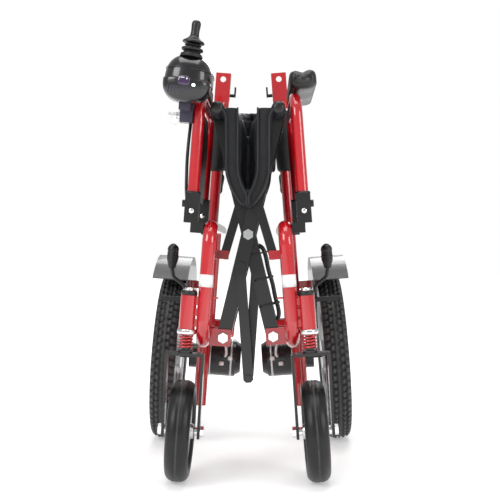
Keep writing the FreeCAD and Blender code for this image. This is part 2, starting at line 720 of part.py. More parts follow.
def seat_half(sign):
    """Half of the folded seat cushion, hanging from beside its rail to the middle crease.

    Two slots let the crossing bars and their arms through. The right half stops short of its
    rail, where the linkage is open.
    """
    front, rear = mm("seat_front_y"), mm("seat_rear_y")
    top, knee = (RAIL_Z - 4 if sign < 0 else 700.0), 610.0
    outline = [(-20, top), (-20, knee), (-0.4, CREASE_Z), (-24, CREASE_Z - 6), (-46, knee - 12),
               (-46, top)]
    ring = [(-sign * x, front, z) for x, z in outline]
    slab = plate(ring, (0, rear - front, 0))
    for centre, ahead, behind in ((mm("brace_front_y"), 42, 42), (mm("brace_rear_y"), 34, 34)):
        low = (-sign * -60, centre - ahead, CREASE_Z - 20)
        slab = slab.cut(box(low, (sign * -5, centre + behind, 700)))
        slab = slab.cut(box((sign * 60, centre - ahead, 690), (sign * 36, centre + behind, 800)))
    return slab


def back_panel(sign, root, on, up, span, angle, height, wall, start, arch=0.0):
    """A flat back panel hinged on a post line: root and up give the line, on the crease way.

    Its lower edge climbs by the arch from the post to the crease.
    """
    inward = Vector(-sign, 0, 0)
    turn = math.radians(angle)
    way = inward * math.sin(turn) + on * math.cos(turn)
    across = up.cross(way).normalize() * (wall / 2)
    a, b = root + way * start, root + way * (span - 2)
    ring = [a - across, a + up * height - across, b + up * height - across, b + up * arch - across]
    return Part.Face(Part.makePolygon(ring + [ring[0]])).extrude(across * 2)


def trimmed_at_middle(shape, sign):
    """Leans a side-frame shape into place and cuts off what crosses the middle plane."""
    shape = shape.copy()
    shape.Placement = side_placement(sign)
    limit = box((sign * 0.4, -400, 0), (sign * 500, 500, 1200))
    return shape.common(limit)


BACK_SPAN = 205.0
LOWER_ANGLE = 21.9
UPPER_ANGLE = 21.5


def back_lower(sign):
    """Half of the lower back upholstery, with its sleeve round the post."""
    root = Vector(sign * mm("post_out"), mm("post_y"), 642)
    start = 13.5 if sign < 0 else 62
    panel = back_panel(sign, root, Vector(0, 1, 0), Vector(0, 0, 1), BACK_SPAN, LOWER_ANGLE, 144,
                       8, start)
    return panel, root


def sleeve(root, up, height, inner, outer):
    """A soft sleeve round a post."""
    tube = Part.makeCylinder(outer, height, root, up)
    return tube.cut(Part.makeCylinder(inner, height, root, up))


def back_upper(sign):
    """Half of the upper back upholstery, folded down with its post, crease to the rear."""
    turn = math.radians(mm("back_fold"))
    up = Vector(0, math.sin(turn), math.cos(turn))
    on = Vector(0, -math.cos(turn), math.sin(turn))
    hinge = Vector(sign * mm("post_out"), mm("post_y") + 13, mm("back_hinge_z"))
    root = hinge + up * 68
    start = 11.5 if sign < 0 else 46
    panel = back_panel(sign, root, on, up, BACK_SPAN, UPPER_ANGLE, 104, 8, start, 70)
    return panel, root, up


for side, sign in SIDES:
    raw(f"seat_cushion_{side}", seat_half(sign))
    panel, root = back_lower(sign)
    post_sleeve = sleeve(root, Vector(0, 0, 1), 144, 12.9, 20.0)
    if sign < 0:
        raw(f"back_lower_{side}", trimmed_at_middle(fused([panel, post_sleeve]), sign))
    else:
        raw(f"back_lower_{side}", trimmed_at_middle(panel, sign))
        raw(f"back_sleeve_{side}", post_sleeve, side_placement(sign))
    panel, root, up = back_upper(sign)
    if sign < 0:
        panel = fused([panel, sleeve(root, up, 104, 11.4, 12.8)])
    raw(f"back_upper_{side}", trimmed_at_middle(panel, sign))

# ---------------------------------------------------------------- armrest pads and guards

PAD_SECTION = [(-27.5, 4), (-23, 0.5), (23, 0.5), (27.5, 5), (27.5, 34), (22, 40), (13, 37),
               (0, 32), (-13, 37), (-22, 40), (-27.5, 34)]
PAD_REACH = {"left": (-236.0, -40.0), "right": (-300.0, -40.0)}
pad_base = mm("arm_top") + mm("arm_tube") / 2
for side, sign in SIDES:
    front, rear = PAD_REACH[side]
    spot = Placement(Vector(sign * 56.5, (front + rear) / 2, pad_base), Rotation())
    padded(f"armrest_pad_{side}", "XZ_Plane", PAD_SECTION, rear - front,
           side_placement(sign).multiply(spot), True)
    low, high = mm("arm_front_y") + 19, mm("arm_rear_y") - 19
    panel = [(low, 572), (low + 14, 556), (high - 14, 556), (high, 572), (high, 690),
             (high - 34, 738), (low + 34, 738), (low, 690)]
    spot = Placement(Vector(sign * mm("arm_out"), 0, 0), Rotation())
    padded(f"side_guard_{side}", "YZ_Plane", panel, 3.0, side_placement(sign).multiply(spot), True)

# ---------------------------------------------------------------- joystick controller

CONTROLLER_ROLL = 4.8
CONTROLLER_SPOT = Vector(-62, -311, 774)
controller_place = side_placement(-1).multiply(
    Placement(CONTROLLER_SPOT, Rotation(Vector(0, 1, 0), CONTROLLER_ROLL)))
UPPER_SECTION = [(-44, 0), (-46, 14), (-43, 28), (-35, 40), (-23, 48), (-8, 52), (8, 52), (23, 48),
                 (35, 40), (43, 28), (46, 14), (44, 0)]
LOWER_SECTION = [(-40, -0.4), (-38, -20), (-28, -29), (28, -29), (38, -20), (40, -0.4)]
STICK_Y = -34.0
BUTTON_Y = 26.0

upper = plate([(x, -65, z) for x, z in UPPER_SECTION], (0, 130, 0))
upper = upper.cut(rod((0, BUTTON_Y, 45), (0, BUTTON_Y, 60), 6.4))
upper = fused([upper, rod((0, STICK_Y, 46), (0, STICK_Y, 56), 6)])
raw("controller_top_case", upper, controller_place)
lower_spot = controller_place.multiply(Placement(Vector(0, -29, 0), Rotation()))
padded("controller_bottom_case", "XZ_Plane", LOWER_SECTION, 66.0, lower_spot, True)
button = rod((0, BUTTON_Y, 47), (0, BUTTON_Y, 53.5), 6.0)
raw("power_button", button, controller_place)
boot = Part.makeCone(20, 12, 12, Vector(0, STICK_Y, 58.5), Vector(0, 0, 1))
raw("joystick_boot", boot, controller_place)
neck = rod((0, STICK_Y, 72), (0, STICK_Y, 76), 3)
skirt = Part.makeCone(11, 16, 4, Vector(0, STICK_Y, 74.5), Vector(0, 0, 1))
cap = Part.makeCone(16, 8, 11, Vector(0, STICK_Y, 78.5), Vector(0, 0, 1))
tip = Part.makeCone(8, 9, 22, Vector(0, STICK_Y, 89.5), Vector(0, 0, 1))
crown = Part.makeSphere(9, Vector(0, STICK_Y, 108.5))
raw("joystick_knob", fused([neck, skirt, cap, tip, crown]), controller_place)

leg_x = -mm("arm_out")
mount_block = box((leg_x - 11.8, -304, 702), (-76, -280, 743))
mount_arm = box((-54, -338, 722), (-76, -282, 743))
knob_y, knob_z = -292.0, 716.0
knob_bore = rod((-60, knob_y, knob_z), (-80, knob_y, knob_z), 3.05)
raw("controller_mount", fused([mount_block, mount_arm]).cut(knob_bore), side_placement(-1))
knob_stem = rod((-62, knob_y, knob_z), (-82, knob_y, knob_z), 3)
knob_hub = rod((-77, knob_y, knob_z), (-84, knob_y, knob_z), 7)
knob_wing = box((-82, knob_y - 18, knob_z - 3), (-98, knob_y + 18, knob_z + 3))
raw("clamp_knob", fused([knob_stem, knob_hub, knob_wing]), side_placement(-1))

# ---------------------------------------------------------------- cables


def cable(points, radius):
    """A cable as straight runs and arcs as large as its runs allow; prints the arc radii."""
    spots = [Vector(*p) for p in points]
    bends = []
    for before, corner, after in zip(spots, spots[1:], spots[2:]):
        back, on = before - corner, after - corner
        half_turn = (math.pi - back.getAngle(on)) / 2
        bends.append(0.45 * min(back.Length, on.Length) / math.tan(half_turn))
    wire = path(points, bends)
    solid = swept(wire, radius)
    print("arc radii", [round(b) for b in bends], "volume over section x length",
          round(solid.Volume / (math.pi * radius ** 2 * wire.Length), 4))
    return solid


CONTROLLER_CABLE = [(-58, -262, 771), (-59, -263, 742), (-61, -272, 706), (-63, -281, 668),
                    (-61, -286, 632), (-57, -282, 600), (-56, -268, 573), (-56, -240, 557),
                    (-55, -200, 553), (-56, -155, 556), (-55, -110, 553), (-56, -68, 557),
                    (-55, -30, 566), (-54, 4, 580)]
raw("controller_cable", cable(CONTROLLER_CABLE, 3.2), side_placement(-1))


def harness_route():
    """Points down the outer face of the left-railed cross bar, leaving and rejoining the bar."""
    foot = (mm("pivot_half"), mm("pivot_z"))
    route = []
    for distance, out in ((186, 14.3), (182, 22), (160, 24), (132, 22), (104, 24.5), (76, 22.5),
                          (52, 24), (34, 21), (29, 14.3)):
        x, z = along(foot, math.pi - RISE, distance)
        route.append((x + out * math.sin(RISE), mm("brace_front_y") + 16, z + out * math.cos(RISE)))
    return route


raw("wiring_harness", cable(harness_route(), 4.5))

# ---------------------------------------------------------------- checks and files

doc.recompute()
for obj in doc.Objects:
    if "Invalid" in obj.State or "Error" in obj.State:
        raise RuntimeError(f"{obj.Name} failed: {obj.State}")
for obj in nodes:
    if obj.Shape.isNull() or not obj.Shape.isValid():
        raise RuntimeError(f"{obj.Label} has no valid shape")
    obj.Shape.exportStep(f"parts/{obj.Label}.step")
print(len(nodes), "nodes written")
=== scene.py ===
"""Looks of the folded power wheelchair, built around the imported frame.

Places are metres in the row frame. Sizes named _MM are millimetres in the upright frame of a side:
u outwards from the frame tube, y as in the row, w up along the leaning posts.
"""
import json
import math

import bpy
import bmesh
import numpy as np
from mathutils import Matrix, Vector


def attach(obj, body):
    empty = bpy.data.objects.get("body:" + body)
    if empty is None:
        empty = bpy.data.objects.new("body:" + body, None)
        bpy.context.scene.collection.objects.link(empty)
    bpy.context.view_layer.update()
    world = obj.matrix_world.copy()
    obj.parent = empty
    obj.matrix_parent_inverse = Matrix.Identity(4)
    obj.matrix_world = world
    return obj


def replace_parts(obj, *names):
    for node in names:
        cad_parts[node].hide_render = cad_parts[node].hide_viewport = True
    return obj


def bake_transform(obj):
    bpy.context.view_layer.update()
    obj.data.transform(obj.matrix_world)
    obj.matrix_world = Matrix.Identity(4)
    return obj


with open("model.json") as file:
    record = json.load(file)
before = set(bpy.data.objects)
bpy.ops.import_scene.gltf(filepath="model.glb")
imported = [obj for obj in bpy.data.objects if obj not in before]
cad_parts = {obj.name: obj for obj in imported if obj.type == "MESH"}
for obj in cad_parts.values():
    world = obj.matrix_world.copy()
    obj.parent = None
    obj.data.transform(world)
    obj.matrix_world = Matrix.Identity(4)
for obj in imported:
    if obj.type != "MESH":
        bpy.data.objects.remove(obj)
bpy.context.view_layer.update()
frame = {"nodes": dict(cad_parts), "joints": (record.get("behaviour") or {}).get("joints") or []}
JOINTS = {joint["name"]: joint for joint in frame["joints"]}

LEAN = math.radians(4.2)
FOOT_MM = 109.0
SIDES = (("left", -1), ("right", 1))
DEPTH_MM = {"seat_front": -312.0, "seat_rear": 75.0, "front_brace": -222.5, "rear_brace": -12.5}

# ---------------------------------------------------------------- places


def on_side(sign, points):
    """Side-frame millimetres to row metres: lean about the floor line, then mirror by the sign."""
    u, y, w = np.moveaxis(np.asarray(points, float), -1, 0)
    x = sign * (FOOT_MM + u * math.cos(LEAN) - w * math.sin(LEAN))
    z = w * math.cos(LEAN) + u * math.sin(LEAN)
    return np.stack([x, y, z], -1) / 1000


def about_joint(name, points):
    """Points (along the axis, forwards, upwards) in mm from a joint's place, to row metres."""
    joint = JOINTS[name]
    axis = np.array(joint["axis"], float)
    ahead = np.array([0.0, -1.0, 0.0])
    above = np.cross(ahead, axis) * (-1 if np.cross(ahead, axis)[2] < 0 else 1)
    basis = np.stack([axis, ahead, above])
    return np.array(joint["pos_m"]) + np.asarray(points, float) @ basis / 1000


def on_controller(points):
    """Controller millimetres to row metres: x across the case, y back from the stick, z up."""
    return about_joint("joystick_fore_aft", np.asarray(points, float) * [1, -1, 1] - [0, 34, 52])


# ---------------------------------------------------------------- surfaces


def piece(name, points, faces, finish, smooth=True):
    """One mesh object from an array of points and a list of faces, with its normals outwards."""
    mesh = bpy.data.meshes.new(name)
    mesh.from_pydata(np.reshape(points, (-1, 3)).tolist(), [], faces)
    shape = bmesh.new()
    shape.from_mesh(mesh)
    bmesh.ops.remove_doubles(shape, verts=shape.verts, dist=1e-6)
    bmesh.ops.recalc_face_normals(shape, faces=shape.faces)
    shape.to_mesh(mesh)
    shape.free()
    mesh.polygons.foreach_set("use_smooth", [smooth] * len(mesh.polygons))
    mesh.materials.append(finish)
    obj = bpy.data.objects.new(name, mesh)
    bpy.context.scene.collection.objects.link(obj)
    return obj


def grid_faces(rows, columns, closed_rows, start=0):
    """Quads between neighbouring points of a grid that is closed round its columns."""
    i = np.arange(rows if closed_rows else rows - 1)[:, None]
    j = np.arange(columns)[None, :]
    ahead, beside = (i + 1) % rows, (j + 1) % columns
    quads = np.stack(np.broadcast_arrays(i * columns + j, i * columns + beside,
                                         ahead * columns + beside, ahead * columns + j), -1)
    return (quads.reshape(-1, 4) + start).tolist()


def skin(name, points, finish, closed_rows=False, smooth=True):
    """A surface through a grid of rings; open ends are closed by one face each."""
    rows, columns = points.shape[:2]
    faces = grid_faces(rows, columns, closed_rows)
    if not closed_rows:
        faces += [list(range(columns))[::-1], list(range((rows - 1) * columns, rows * columns))]
    return piece(name, points, faces, finish, smooth)


def several(name, grids, finish, smooth=True):
    """Many like surfaces of rings as one object, each closed at its ends."""
    points, faces, start = [], [], 0
    for grid in grids:
        rows, columns = grid.shape[:2]
        faces += grid_faces(rows, columns, False, start)
        faces += [[start + k for k in range(columns)][::-1],
                  [start + (rows - 1) * columns + k for k in range(columns)]]
        points.append(grid.reshape(-1, 3))
        start += rows * columns
    return piece(name, np.concatenate(points), faces, finish, smooth)


def turned(profile, count=48):
    """Rings of a profile of (radius, height) turned about the upright axis."""
    radius, height = np.array(profile, float).T
    angle = np.linspace(0, 2 * np.pi, count, endpoint=False)
    return np.stack([radius[:, None] * np.cos(angle), radius[:, None] * np.sin(angle),
                     np.repeat(height[:, None], count, 1)], -1)


def eased(points, count):
    """A smooth line through a few points: each span is the uniform Catmull-Rom cubic."""
    knots = np.asarray(points, float)
    padded = np.vstack([2 * knots[0] - knots[1], knots, 2 * knots[-1] - knots[-2]])
    s = np.linspace(0, len(knots) - 1, count)
    k = np.minimum(s.astype(int), len(knots) - 2)
    t = (s - k)[:, None]
    a, b, c, d = padded[k], padded[k + 1], padded[k + 2], padded[k + 3]
    return 0.5 * (2 * b + (c - a) * t + (2 * a - 5 * b + 4 * c - d) * t ** 2
                  + (3 * b - a - 3 * c + d) * t ** 3)


def carried(line, radius, across=(0.0, 1.0, 0.0), count=16):
    """Round rings carried along a line: each ring is square to the line's direction."""
    line = np.asarray(line, float)
    along = np.gradient(line, axis=0)
    along /= np.linalg.norm(along, axis=1, keepdims=True)
    first = np.cross(along, across)
    first /= np.linalg.norm(first, axis=1, keepdims=True)
    second = np.cross(along, first)
    angle = np.linspace(0, 2 * np.pi, count, endpoint=False)
    size = np.broadcast_to(np.asarray(radius, float), len(line))[:, None, None]
    return line[:, None] + size * (first[:, None] * np.cos(angle)[:, None]
                                   + second[:, None] * np.sin(angle)[:, None])


def power(value, exponent):
    """The value raised to an exponent with its sign kept, which squares off a circle."""
    return np.sign(value) * np.abs(value) ** exponent


def bump_between(value, low, high, soft):
    """One between two limits and nothing outside them, with a smooth step of a given length."""
    def rise(x):
        x = np.clip(x, 0, 1)
        return x * x * (3 - 2 * x)
    return rise((value - low) / soft + 0.5) * rise((high - value) / soft + 0.5)


# ---------------------------------------------------------------- finishes


class Value:
    """A shader socket that takes part in arithmetic: each operator adds one Math node."""

    def __init__(self, finish, socket):
        self.finish, self.socket = finish, socket

    def _math(self, operation, first, second):
        return self.finish.node("Math", {"operation": operation}, {0: first, 1: second})

    def __add__(self, other):
        return self._math("ADD", self, other)

    __radd__ = __add__

    def __sub__(self, other):
        return self._math("SUBTRACT", self, other)

    def __rsub__(self, other):
        return self._math("SUBTRACT", other, self)

    def __mul__(self, other):
        return self._math("MULTIPLY", self, other)

    __rmul__ = __mul__


class Finish:
    """A material: its Principled shader's fixed sockets, and the nodes that vary the rest."""

    def __init__(self, name, **fixed):
        self.material = bpy.data.materials.new(name)
        self.material.use_nodes = True
        self.tree = self.material.node_tree
        self.shader = self.tree.nodes["Principled BSDF"]
        for socket, value in fixed.items():
            self.shader.inputs[socket.replace("_", " ")].default_value = value
        self.place = self.node("TexCoord", output="Object")

    def node(self, kind, settings=None, inputs=None, output=0):
        """Any node: its settings first, then the values or links of its sockets."""
        node = self.tree.nodes.new("ShaderNode" + kind)
        for key, value in (settings or {}).items():
            if key == "stops":
                for stop, (at, colour) in zip(node.color_ramp.elements, value):
                    stop.position, stop.color = at, colour
            else:
                setattr(node, key, value)
        for key, value in (inputs or {}).items():
            self.feed(node.inputs[key], value)
        return Value(self, node.outputs[output])

    def feed(self, socket, value):
        """Links a Value to a socket, or sets a plain number or colour on it."""
        if isinstance(value, Value):
            self.tree.links.new(value.socket, socket)
        else:
            socket.default_value = value

    def vary(self, **sockets):
        """Links what changes over the surface to the shader's sockets."""
        for socket, value in sockets.items():
            self.feed(self.shader.inputs[socket.replace("_", " ")], value)
        return self

    def stretched(self, x, y, z):
        """The object coordinates scaled by a factor along each axis."""
        return self.node("Mapping", {}, {"Vector": self.place, "Scale": (x, y, z)})

    def noise(self, scale, detail=3.0, vector=None):
        """Soft cloudy noise about one half."""
        return self.node("TexNoise", {}, {"Vector": vector or self.place, "Scale": scale,
                                          "Detail": detail})

    def cells(self, scale):
        """The distance to the nearest of scattered points, which looks like pebbled grain."""
        return self.node("TexVoronoi", {}, {"Vector": self.place, "Scale": scale})

    def waves(self, scale, way, distortion=0.0):
        """Even stripes across one axis."""
        return self.node("TexWave", {"bands_direction": way},
                         {"Vector": self.place, "Scale": scale, "Distortion": distortion,
                          "Detail": 1.0}, output=1)

    def mixed(self, mask, first, second):
        """One colour where the mask is nothing and the other where it is one."""
        return self.node("Mix", {"data_type": "RGBA"}, {0: mask, 6: first, 7: second}, output=2)

    def between(self, value, low, high):
        """A value stretched so that low gives nothing and high gives one, held outside."""
        return self.node("MapRange", {}, {0: value, 1: low, 2: high})

    def raised(self, height, depth, strength=1.0):
        """Bump from a height, with its depth in metres, on the shader's Normal."""
        self.vary(Normal=self.node("Bump", {}, {"Height": height, "Distance": depth,
                                                "Strength": strength}))
        return self


def grey(level, warmth=0.0):
    """An opaque grey, a little warm above nothing and a little cool below."""
    return (level * (1 + warmth), level, level * (1 - warmth), 1)


def paint(name, colour, dark, rough, coat, peel=0.00003):
    """Sprayed paint: orange peel, a faint drift of colour and thin dust that dulls the gloss."""
    finish = Finish(name, Coat_Weight=coat, Coat_Roughness=0.04, IOR=1.5)
    drift, dust = finish.noise(6.0), finish.noise(38.0, 6.0)
    finish.vary(Base_Color=finish.mixed(finish.between(drift, 0.3, 0.7), colour, dark),
                Roughness=dust * 0.16 + (rough - 0.08))
    return finish.raised(finish.noise(420.0, 2.0), peel).material


def metal(name, colour, rough, brushed=(1, 1, 1)):
    """Bare or plated metal: fine scratches run along the stretched way and blur the shine."""
    finish = Finish(name, Metallic=1.0)
    lines = finish.noise(90.0, 6.0, finish.stretched(*brushed))
    cloud = finish.between(finish.noise(22.0), 0.35, 0.7)
    finish.vary(Base_Color=finish.mixed(cloud, colour, tuple(0.8 * c for c in colour[:3]) + (1,)),
                Roughness=lines * 0.16 + cloud * 0.06 + (rough - 0.08))
    return finish.raised(lines, 0.00002).material


def rubber(name, level, rough, grain=900.0, dust=0.35):
    """Moulded rubber: fine grain, with pale dust rubbed into the low places."""
    finish = Finish(name, IOR=1.46)
    dusty = finish.between(finish.noise(28.0, 6.0), 0.45, 0.78) * dust
    finish.vary(Base_Color=finish.mixed(dusty, grey(level), grey(level + 0.07, 0.04)),
                Roughness=finish.noise(70.0, 4.0) * 0.2 + dusty * 0.2 + (rough - 0.1))
    return finish.raised(finish.noise(grain, 2.0), 0.00012).material


def plastic(name, colour, rough, coat=0.0, grain=700.0, depth=0.00005):
    """Moulded plastic: spark-eroded grain, and hand marks that change the gloss in patches."""
    finish = Finish(name, Coat_Weight=coat, Coat_Roughness=0.05)
    marks = finish.between(finish.noise(16.0, 5.0), 0.4, 0.75)
    lighter = tuple(min(1.0, 1.12 * c + 0.003) for c in colour[:3]) + (1,)
    finish.vary(Base_Color=finish.mixed(marks, colour, lighter), Roughness=marks * 0.09 + rough)
    return finish.raised(finish.cells(grain), depth).material


def nylon(name, thread, shade, stripe=330.0):
    """Woven nylon: threads both ways, sheen, soft creases and slightly uneven dye."""
    finish = Finish(name, Specular_IOR_Level=0.35, Sheen_Weight=0.05, Sheen_Roughness=0.35,
                    Sheen_Tint=(0.72, 0.78, 0.95, 1))
    warp, weft = finish.waves(stripe, "Y", 0.4), finish.waves(stripe, "Z", 0.4)
    weave = warp * (1 - weft) + weft * (1 - warp)
    dye = finish.between(finish.noise(9.0, 5.0), 0.3, 0.72)
    creases = finish.noise(30.0, 4.0, finish.stretched(1, 0.45, 1.5))
    finish.vary(Base_Color=finish.mixed(dye * 0.6 + weave * 0.4, thread, shade),
                Roughness=weave * 0.12 + 0.5)
    return finish.raised(weave * 0.16 + creases, 0.0022, 0.55).material


def foam_skin(name):
    """The pebbled, slightly shiny skin of moulded arm-pad foam."""
    finish = Finish(name, IOR=1.5, Coat_Weight=0.08, Coat_Roughness=0.25)
    pebbles, worn = finish.cells(520.0), finish.between(finish.noise(18.0, 5.0), 0.42, 0.7)
    finish.vary(Base_Color=finish.mixed(worn, grey(0.004), grey(0.011, -0.03)),
                Roughness=0.42 - worn * 0.1)
    return finish.raised(pebbles, 0.00016).material


def lamp(name, colour, glow):
    """A small lit indicator behind frosted plastic."""
    finish = Finish(name, Emission_Strength=glow, Roughness=0.2)
    spread = finish.between(finish.noise(500.0), 0.3, 0.7)
    lit = finish.mixed(spread, colour, (0.95, 1.0, 0.95, 1))
    return finish.vary(Base_Color=lit, Emission_Color=lit).material


def tread_rubber(name, rib_height):
    """Tyre rubber whose raised faces are painted pale, partly as scuffing and partly as a painted
    highlight along the tread; the height attribute says how raised.
    """
    finish = Finish(name, IOR=1.46)
    raised = finish.node("Attribute", {"attribute_name": "raised"}, output=2)
    scuffs = finish.between(finish.noise(60.0, 6.0), 0.35, 0.72)
    # The pale colour on the raised tread is partly scuff wear and partly a painted highlight.
    worn = raised * (scuffs * 0.6 + 0.4) * rib_height
    finish.vary(Base_Color=finish.mixed(worn, grey(0.004), grey(0.1, 0.01)),
                Roughness=worn * 0.25 + finish.noise(80.0) * 0.12 + 0.34)
    return finish.raised(finish.noise(850.0, 2.0), 0.00012).material


RED = paint("red_frame_paint", (0.5, 0.006, 0.012, 1), (0.38, 0.003, 0.008, 1), 0.2, 1.0)
BLACK = paint("black_frame_paint", grey(0.002), grey(0.005), 0.3, 0.3, 0.000012)
SPRING_RED = paint("spring_paint", (0.46, 0.007, 0.012, 1), (0.34, 0.004, 0.008, 1), 0.25, 0.8)
GUARD_GREY = paint("guard_paint", grey(0.1, -0.03), grey(0.075, -0.03), 0.34, 0.4)
CHROME = metal("chrome_plate", grey(0.86, -0.01), 0.12)
STEEL = metal("brushed_steel", grey(0.6), 0.3, (1, 14, 1))
RIM = metal("rim_silver", grey(0.62, -0.01), 0.34)
BLACK_PLASTIC = plastic("black_plastic", grey(0.005), 0.36)
GLOSS_BLACK = plastic("gloss_black_case", (0.003, 0.003, 0.0045, 1), 0.2, 0.5, 240.0, 0.000015)
SLATE = plastic("slate_mount", (0.03, 0.028, 0.048, 1), 0.32, 0.2)
WINDOW = plastic("dark_purple_window", (0.03, 0.012, 0.055, 1), 0.06, 1.0, 200.0, 0.00001)
WHITE_PLASTIC = plastic("white_connector", grey(0.72, 0.02), 0.35)
RUBBER = rubber("soft_rubber", 0.006, 0.42, dust=0.06)
TYRE = tread_rubber("tyre_tread", 0.75)
NYLON = nylon("black_nylon", grey(0.003, -0.05), (0.009, 0.0098, 0.014, 1))
BINDING = nylon("nylon_binding", grey(0.01, -0.05), (0.028, 0.03, 0.038, 1), 520.0)
THREAD = rubber("white_thread", 0.75, 0.6, dust=0.0)
PAD = foam_skin("arm_pad_skin")
REFLECTIVE = plastic("reflective_band", grey(0.8), 0.2, 0.6, 1300.0, 0.00008)
CLEAR = plastic("clear_knob", grey(0.82, -0.01), 0.12, 0.8)
CLEAR.node_tree.nodes["Principled BSDF"].inputs["Transmission Weight"].default_value = 0.55
LED = lamp("status_lamp", (0.45, 1.0, 0.55, 1), 3.0)

NODE_FINISH = {
    "side_frame": RED, "drive_motor": BLACK, "armrest_socket": BLACK_PLASTIC, "armrest_tube": RED,
    "upper_back_post": RED, "back_release_lever": BLACK, "caster_fork": BLACK,
    "caster_fasteners": CHROME, "caster_spring": SPRING_RED, "caster_rim": RIM, "drive_rim": RIM,
    "cross_brace": BLACK, "link_arm": BLACK, "stretcher_bar": BLACK, "side_guard": BLACK_PLASTIC,
    "pivot_bolts": CHROME, "controller_mount": SLATE, "power_button": WHITE_PLASTIC,
    "mudguard": GUARD_GREY, "brake_lever": BLACK_PLASTIC, "clamp_knob": CLEAR,
}
for node_name, node in frame["nodes"].items():
    kind = node_name.rsplit("_", 1)[0] if node_name.endswith(("_left", "_right")) else node_name
    if kind in NODE_FINISH:
        for place in node.material_slots:
            place.material = NODE_FINISH[kind]

# ---------------------------------------------------------------- tyres

TREADS = {
    "drive": dict(radius=203.0, half=27.5, depth=46.0, rib=3.4, groove=6.5, lugs=74, rings=1036,
                  square=0.75),
    "caster": dict(radius=100.0, half=23.0, depth=32.0, rib=1.4, groove=1.6, lugs=0, rings=240,
                   square=0.95),
}


def tyre(kind, side):
    """A tyre: a squared-off oval section carried round the axle, raised by its tread.

    The section is half wide across and reaches from the bead to the outer radius. The tread is a
    middle rib, a groove each side and, on a drive tyre, two columns of alternating lugs a side.
    """
    tread = TREADS[kind]
    turn = np.linspace(0, 2 * np.pi, tread["rings"], endpoint=False)[:, None]
    section = np.linspace(0, 2 * np.pi, 64, endpoint=False)[None, :]
    across = tread["half"] * power(np.cos(section), tread["square"])
    reach = tread["depth"] / 2
    radius = tread["radius"] - reach + reach * power(np.sin(section), tread["square"] + 0.05)
    crown = np.clip(np.sin(section), 0, 1) ** 1.5
    rib = bump_between(across, -tread["rib"], tread["rib"], 2.0)
    if tread["lugs"]:
        outer = np.abs(across) > 14.5
        phase = turn * tread["lugs"] / (2 * np.pi) + 0.5 * (outer ^ (across > 0))
        share = np.abs(phase % 1 - 0.5)
        columns = (bump_between(np.abs(across), 5.6, 13.2, 1.4)
                   + bump_between(np.abs(across), 15.8, 26.8, 1.4))
        lug = bump_between(share, -1.0, 0.31, 0.1) * columns
    else:
        lug = bump_between(np.abs(across), 4.6, 40.0, 1.6) + 0 * turn
    raised = np.clip(rib + lug, 0, 1) + 0 * turn
    # Faces painted pale: partly scuffing and partly a painted highlight; on a caster only the
    # middle rib, as a pale line along the tread.
    scuff_and_highlight = raised if tread["lugs"] else rib + 0 * turn
    radius = radius - tread["groove"] * crown * (1 - raised)
    grid = np.stack(np.broadcast_arrays(across + 0 * turn, radius * np.sin(turn),
                                        radius * np.cos(turn)), -1)
    obj = skin(f"{kind}_tyre_tread_{side}", about_joint(f"{kind}_spin_{side}", grid), TYRE, True)
    shade = obj.data.attributes.new("raised", "FLOAT", "POINT")
    shade.data.foreach_set("value", (scuff_and_highlight * crown).astype(np.float32).ravel()[:len(shade.data)])
    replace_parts(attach(obj, f"{kind}_wheel_{side}"), f"{kind}_tyre_{side}")


for side, sign in SIDES:
    tyre("drive", side)
    tyre("caster", side)

# ---------------------------------------------------------------- padded upholstery


def filled(obj, cap, voxel=0.006, pressure=4.0):
    """Swells a piece as cloth under pressure, moves no point further than the cap, then smooths."""
    remesh = obj.modifiers.new("remesh", "REMESH")
    remesh.mode, remesh.voxel_size = "VOXEL", voxel
    settle(obj)
    before = points_of(obj)
    cloth = obj.modifiers.new("cloth", "CLOTH")
    cloth.settings.quality = 5
    cloth.settings.mass = 0.3
    cloth.settings.use_pressure = True
    cloth.settings.uniform_pressure_force = pressure
    cloth.settings.effector_weights.gravity = 0
    cloth.point_cache.frame_start, cloth.point_cache.frame_end = 1, 20
    for step in range(1, 21):
        bpy.context.scene.frame_set(step)
    settle(obj)
    bpy.context.scene.frame_set(1)
    move = points_of(obj) - before
    far = np.linalg.norm(move, axis=1, keepdims=True)
    kept = before + move * np.minimum(1, cap / np.maximum(far, 1e-9))
    obj.data.vertices.foreach_set("co", kept.astype(np.float32).ravel())
    smoother = obj.modifiers.new("smoother", "SUBSURF")
    smoother.levels = smoother.render_levels = 1
    settle(obj)
    obj.data.polygons.foreach_set("use_smooth", [True] * len(obj.data.polygons))
    return obj


def settle(obj):
    """Replaces a piece's mesh by what its modifiers make of it, and removes them."""
    bpy.context.view_layer.update()
    shaped = obj.evaluated_get(bpy.context.evaluated_depsgraph_get())
    mesh = bpy.data.meshes.new_from_object(shaped)
    obj.modifiers.clear()
    obj.data = mesh


def points_of(obj):
    """The mesh's points as an array."""
    flat = np.empty(len(obj.data.vertices) * 3, np.float32)
    obj.data.vertices.foreach_get("co", flat)
    return flat.reshape(-1, 3).astype(float)


RISE = math.radians(76.35)
CROSS_W = 487.0
RAIL_W = 734.0
CREASE_W = 536.0
BAR_HALF = 14.4
BAR_GAP = 3.0
PAD_THICK = 25.0


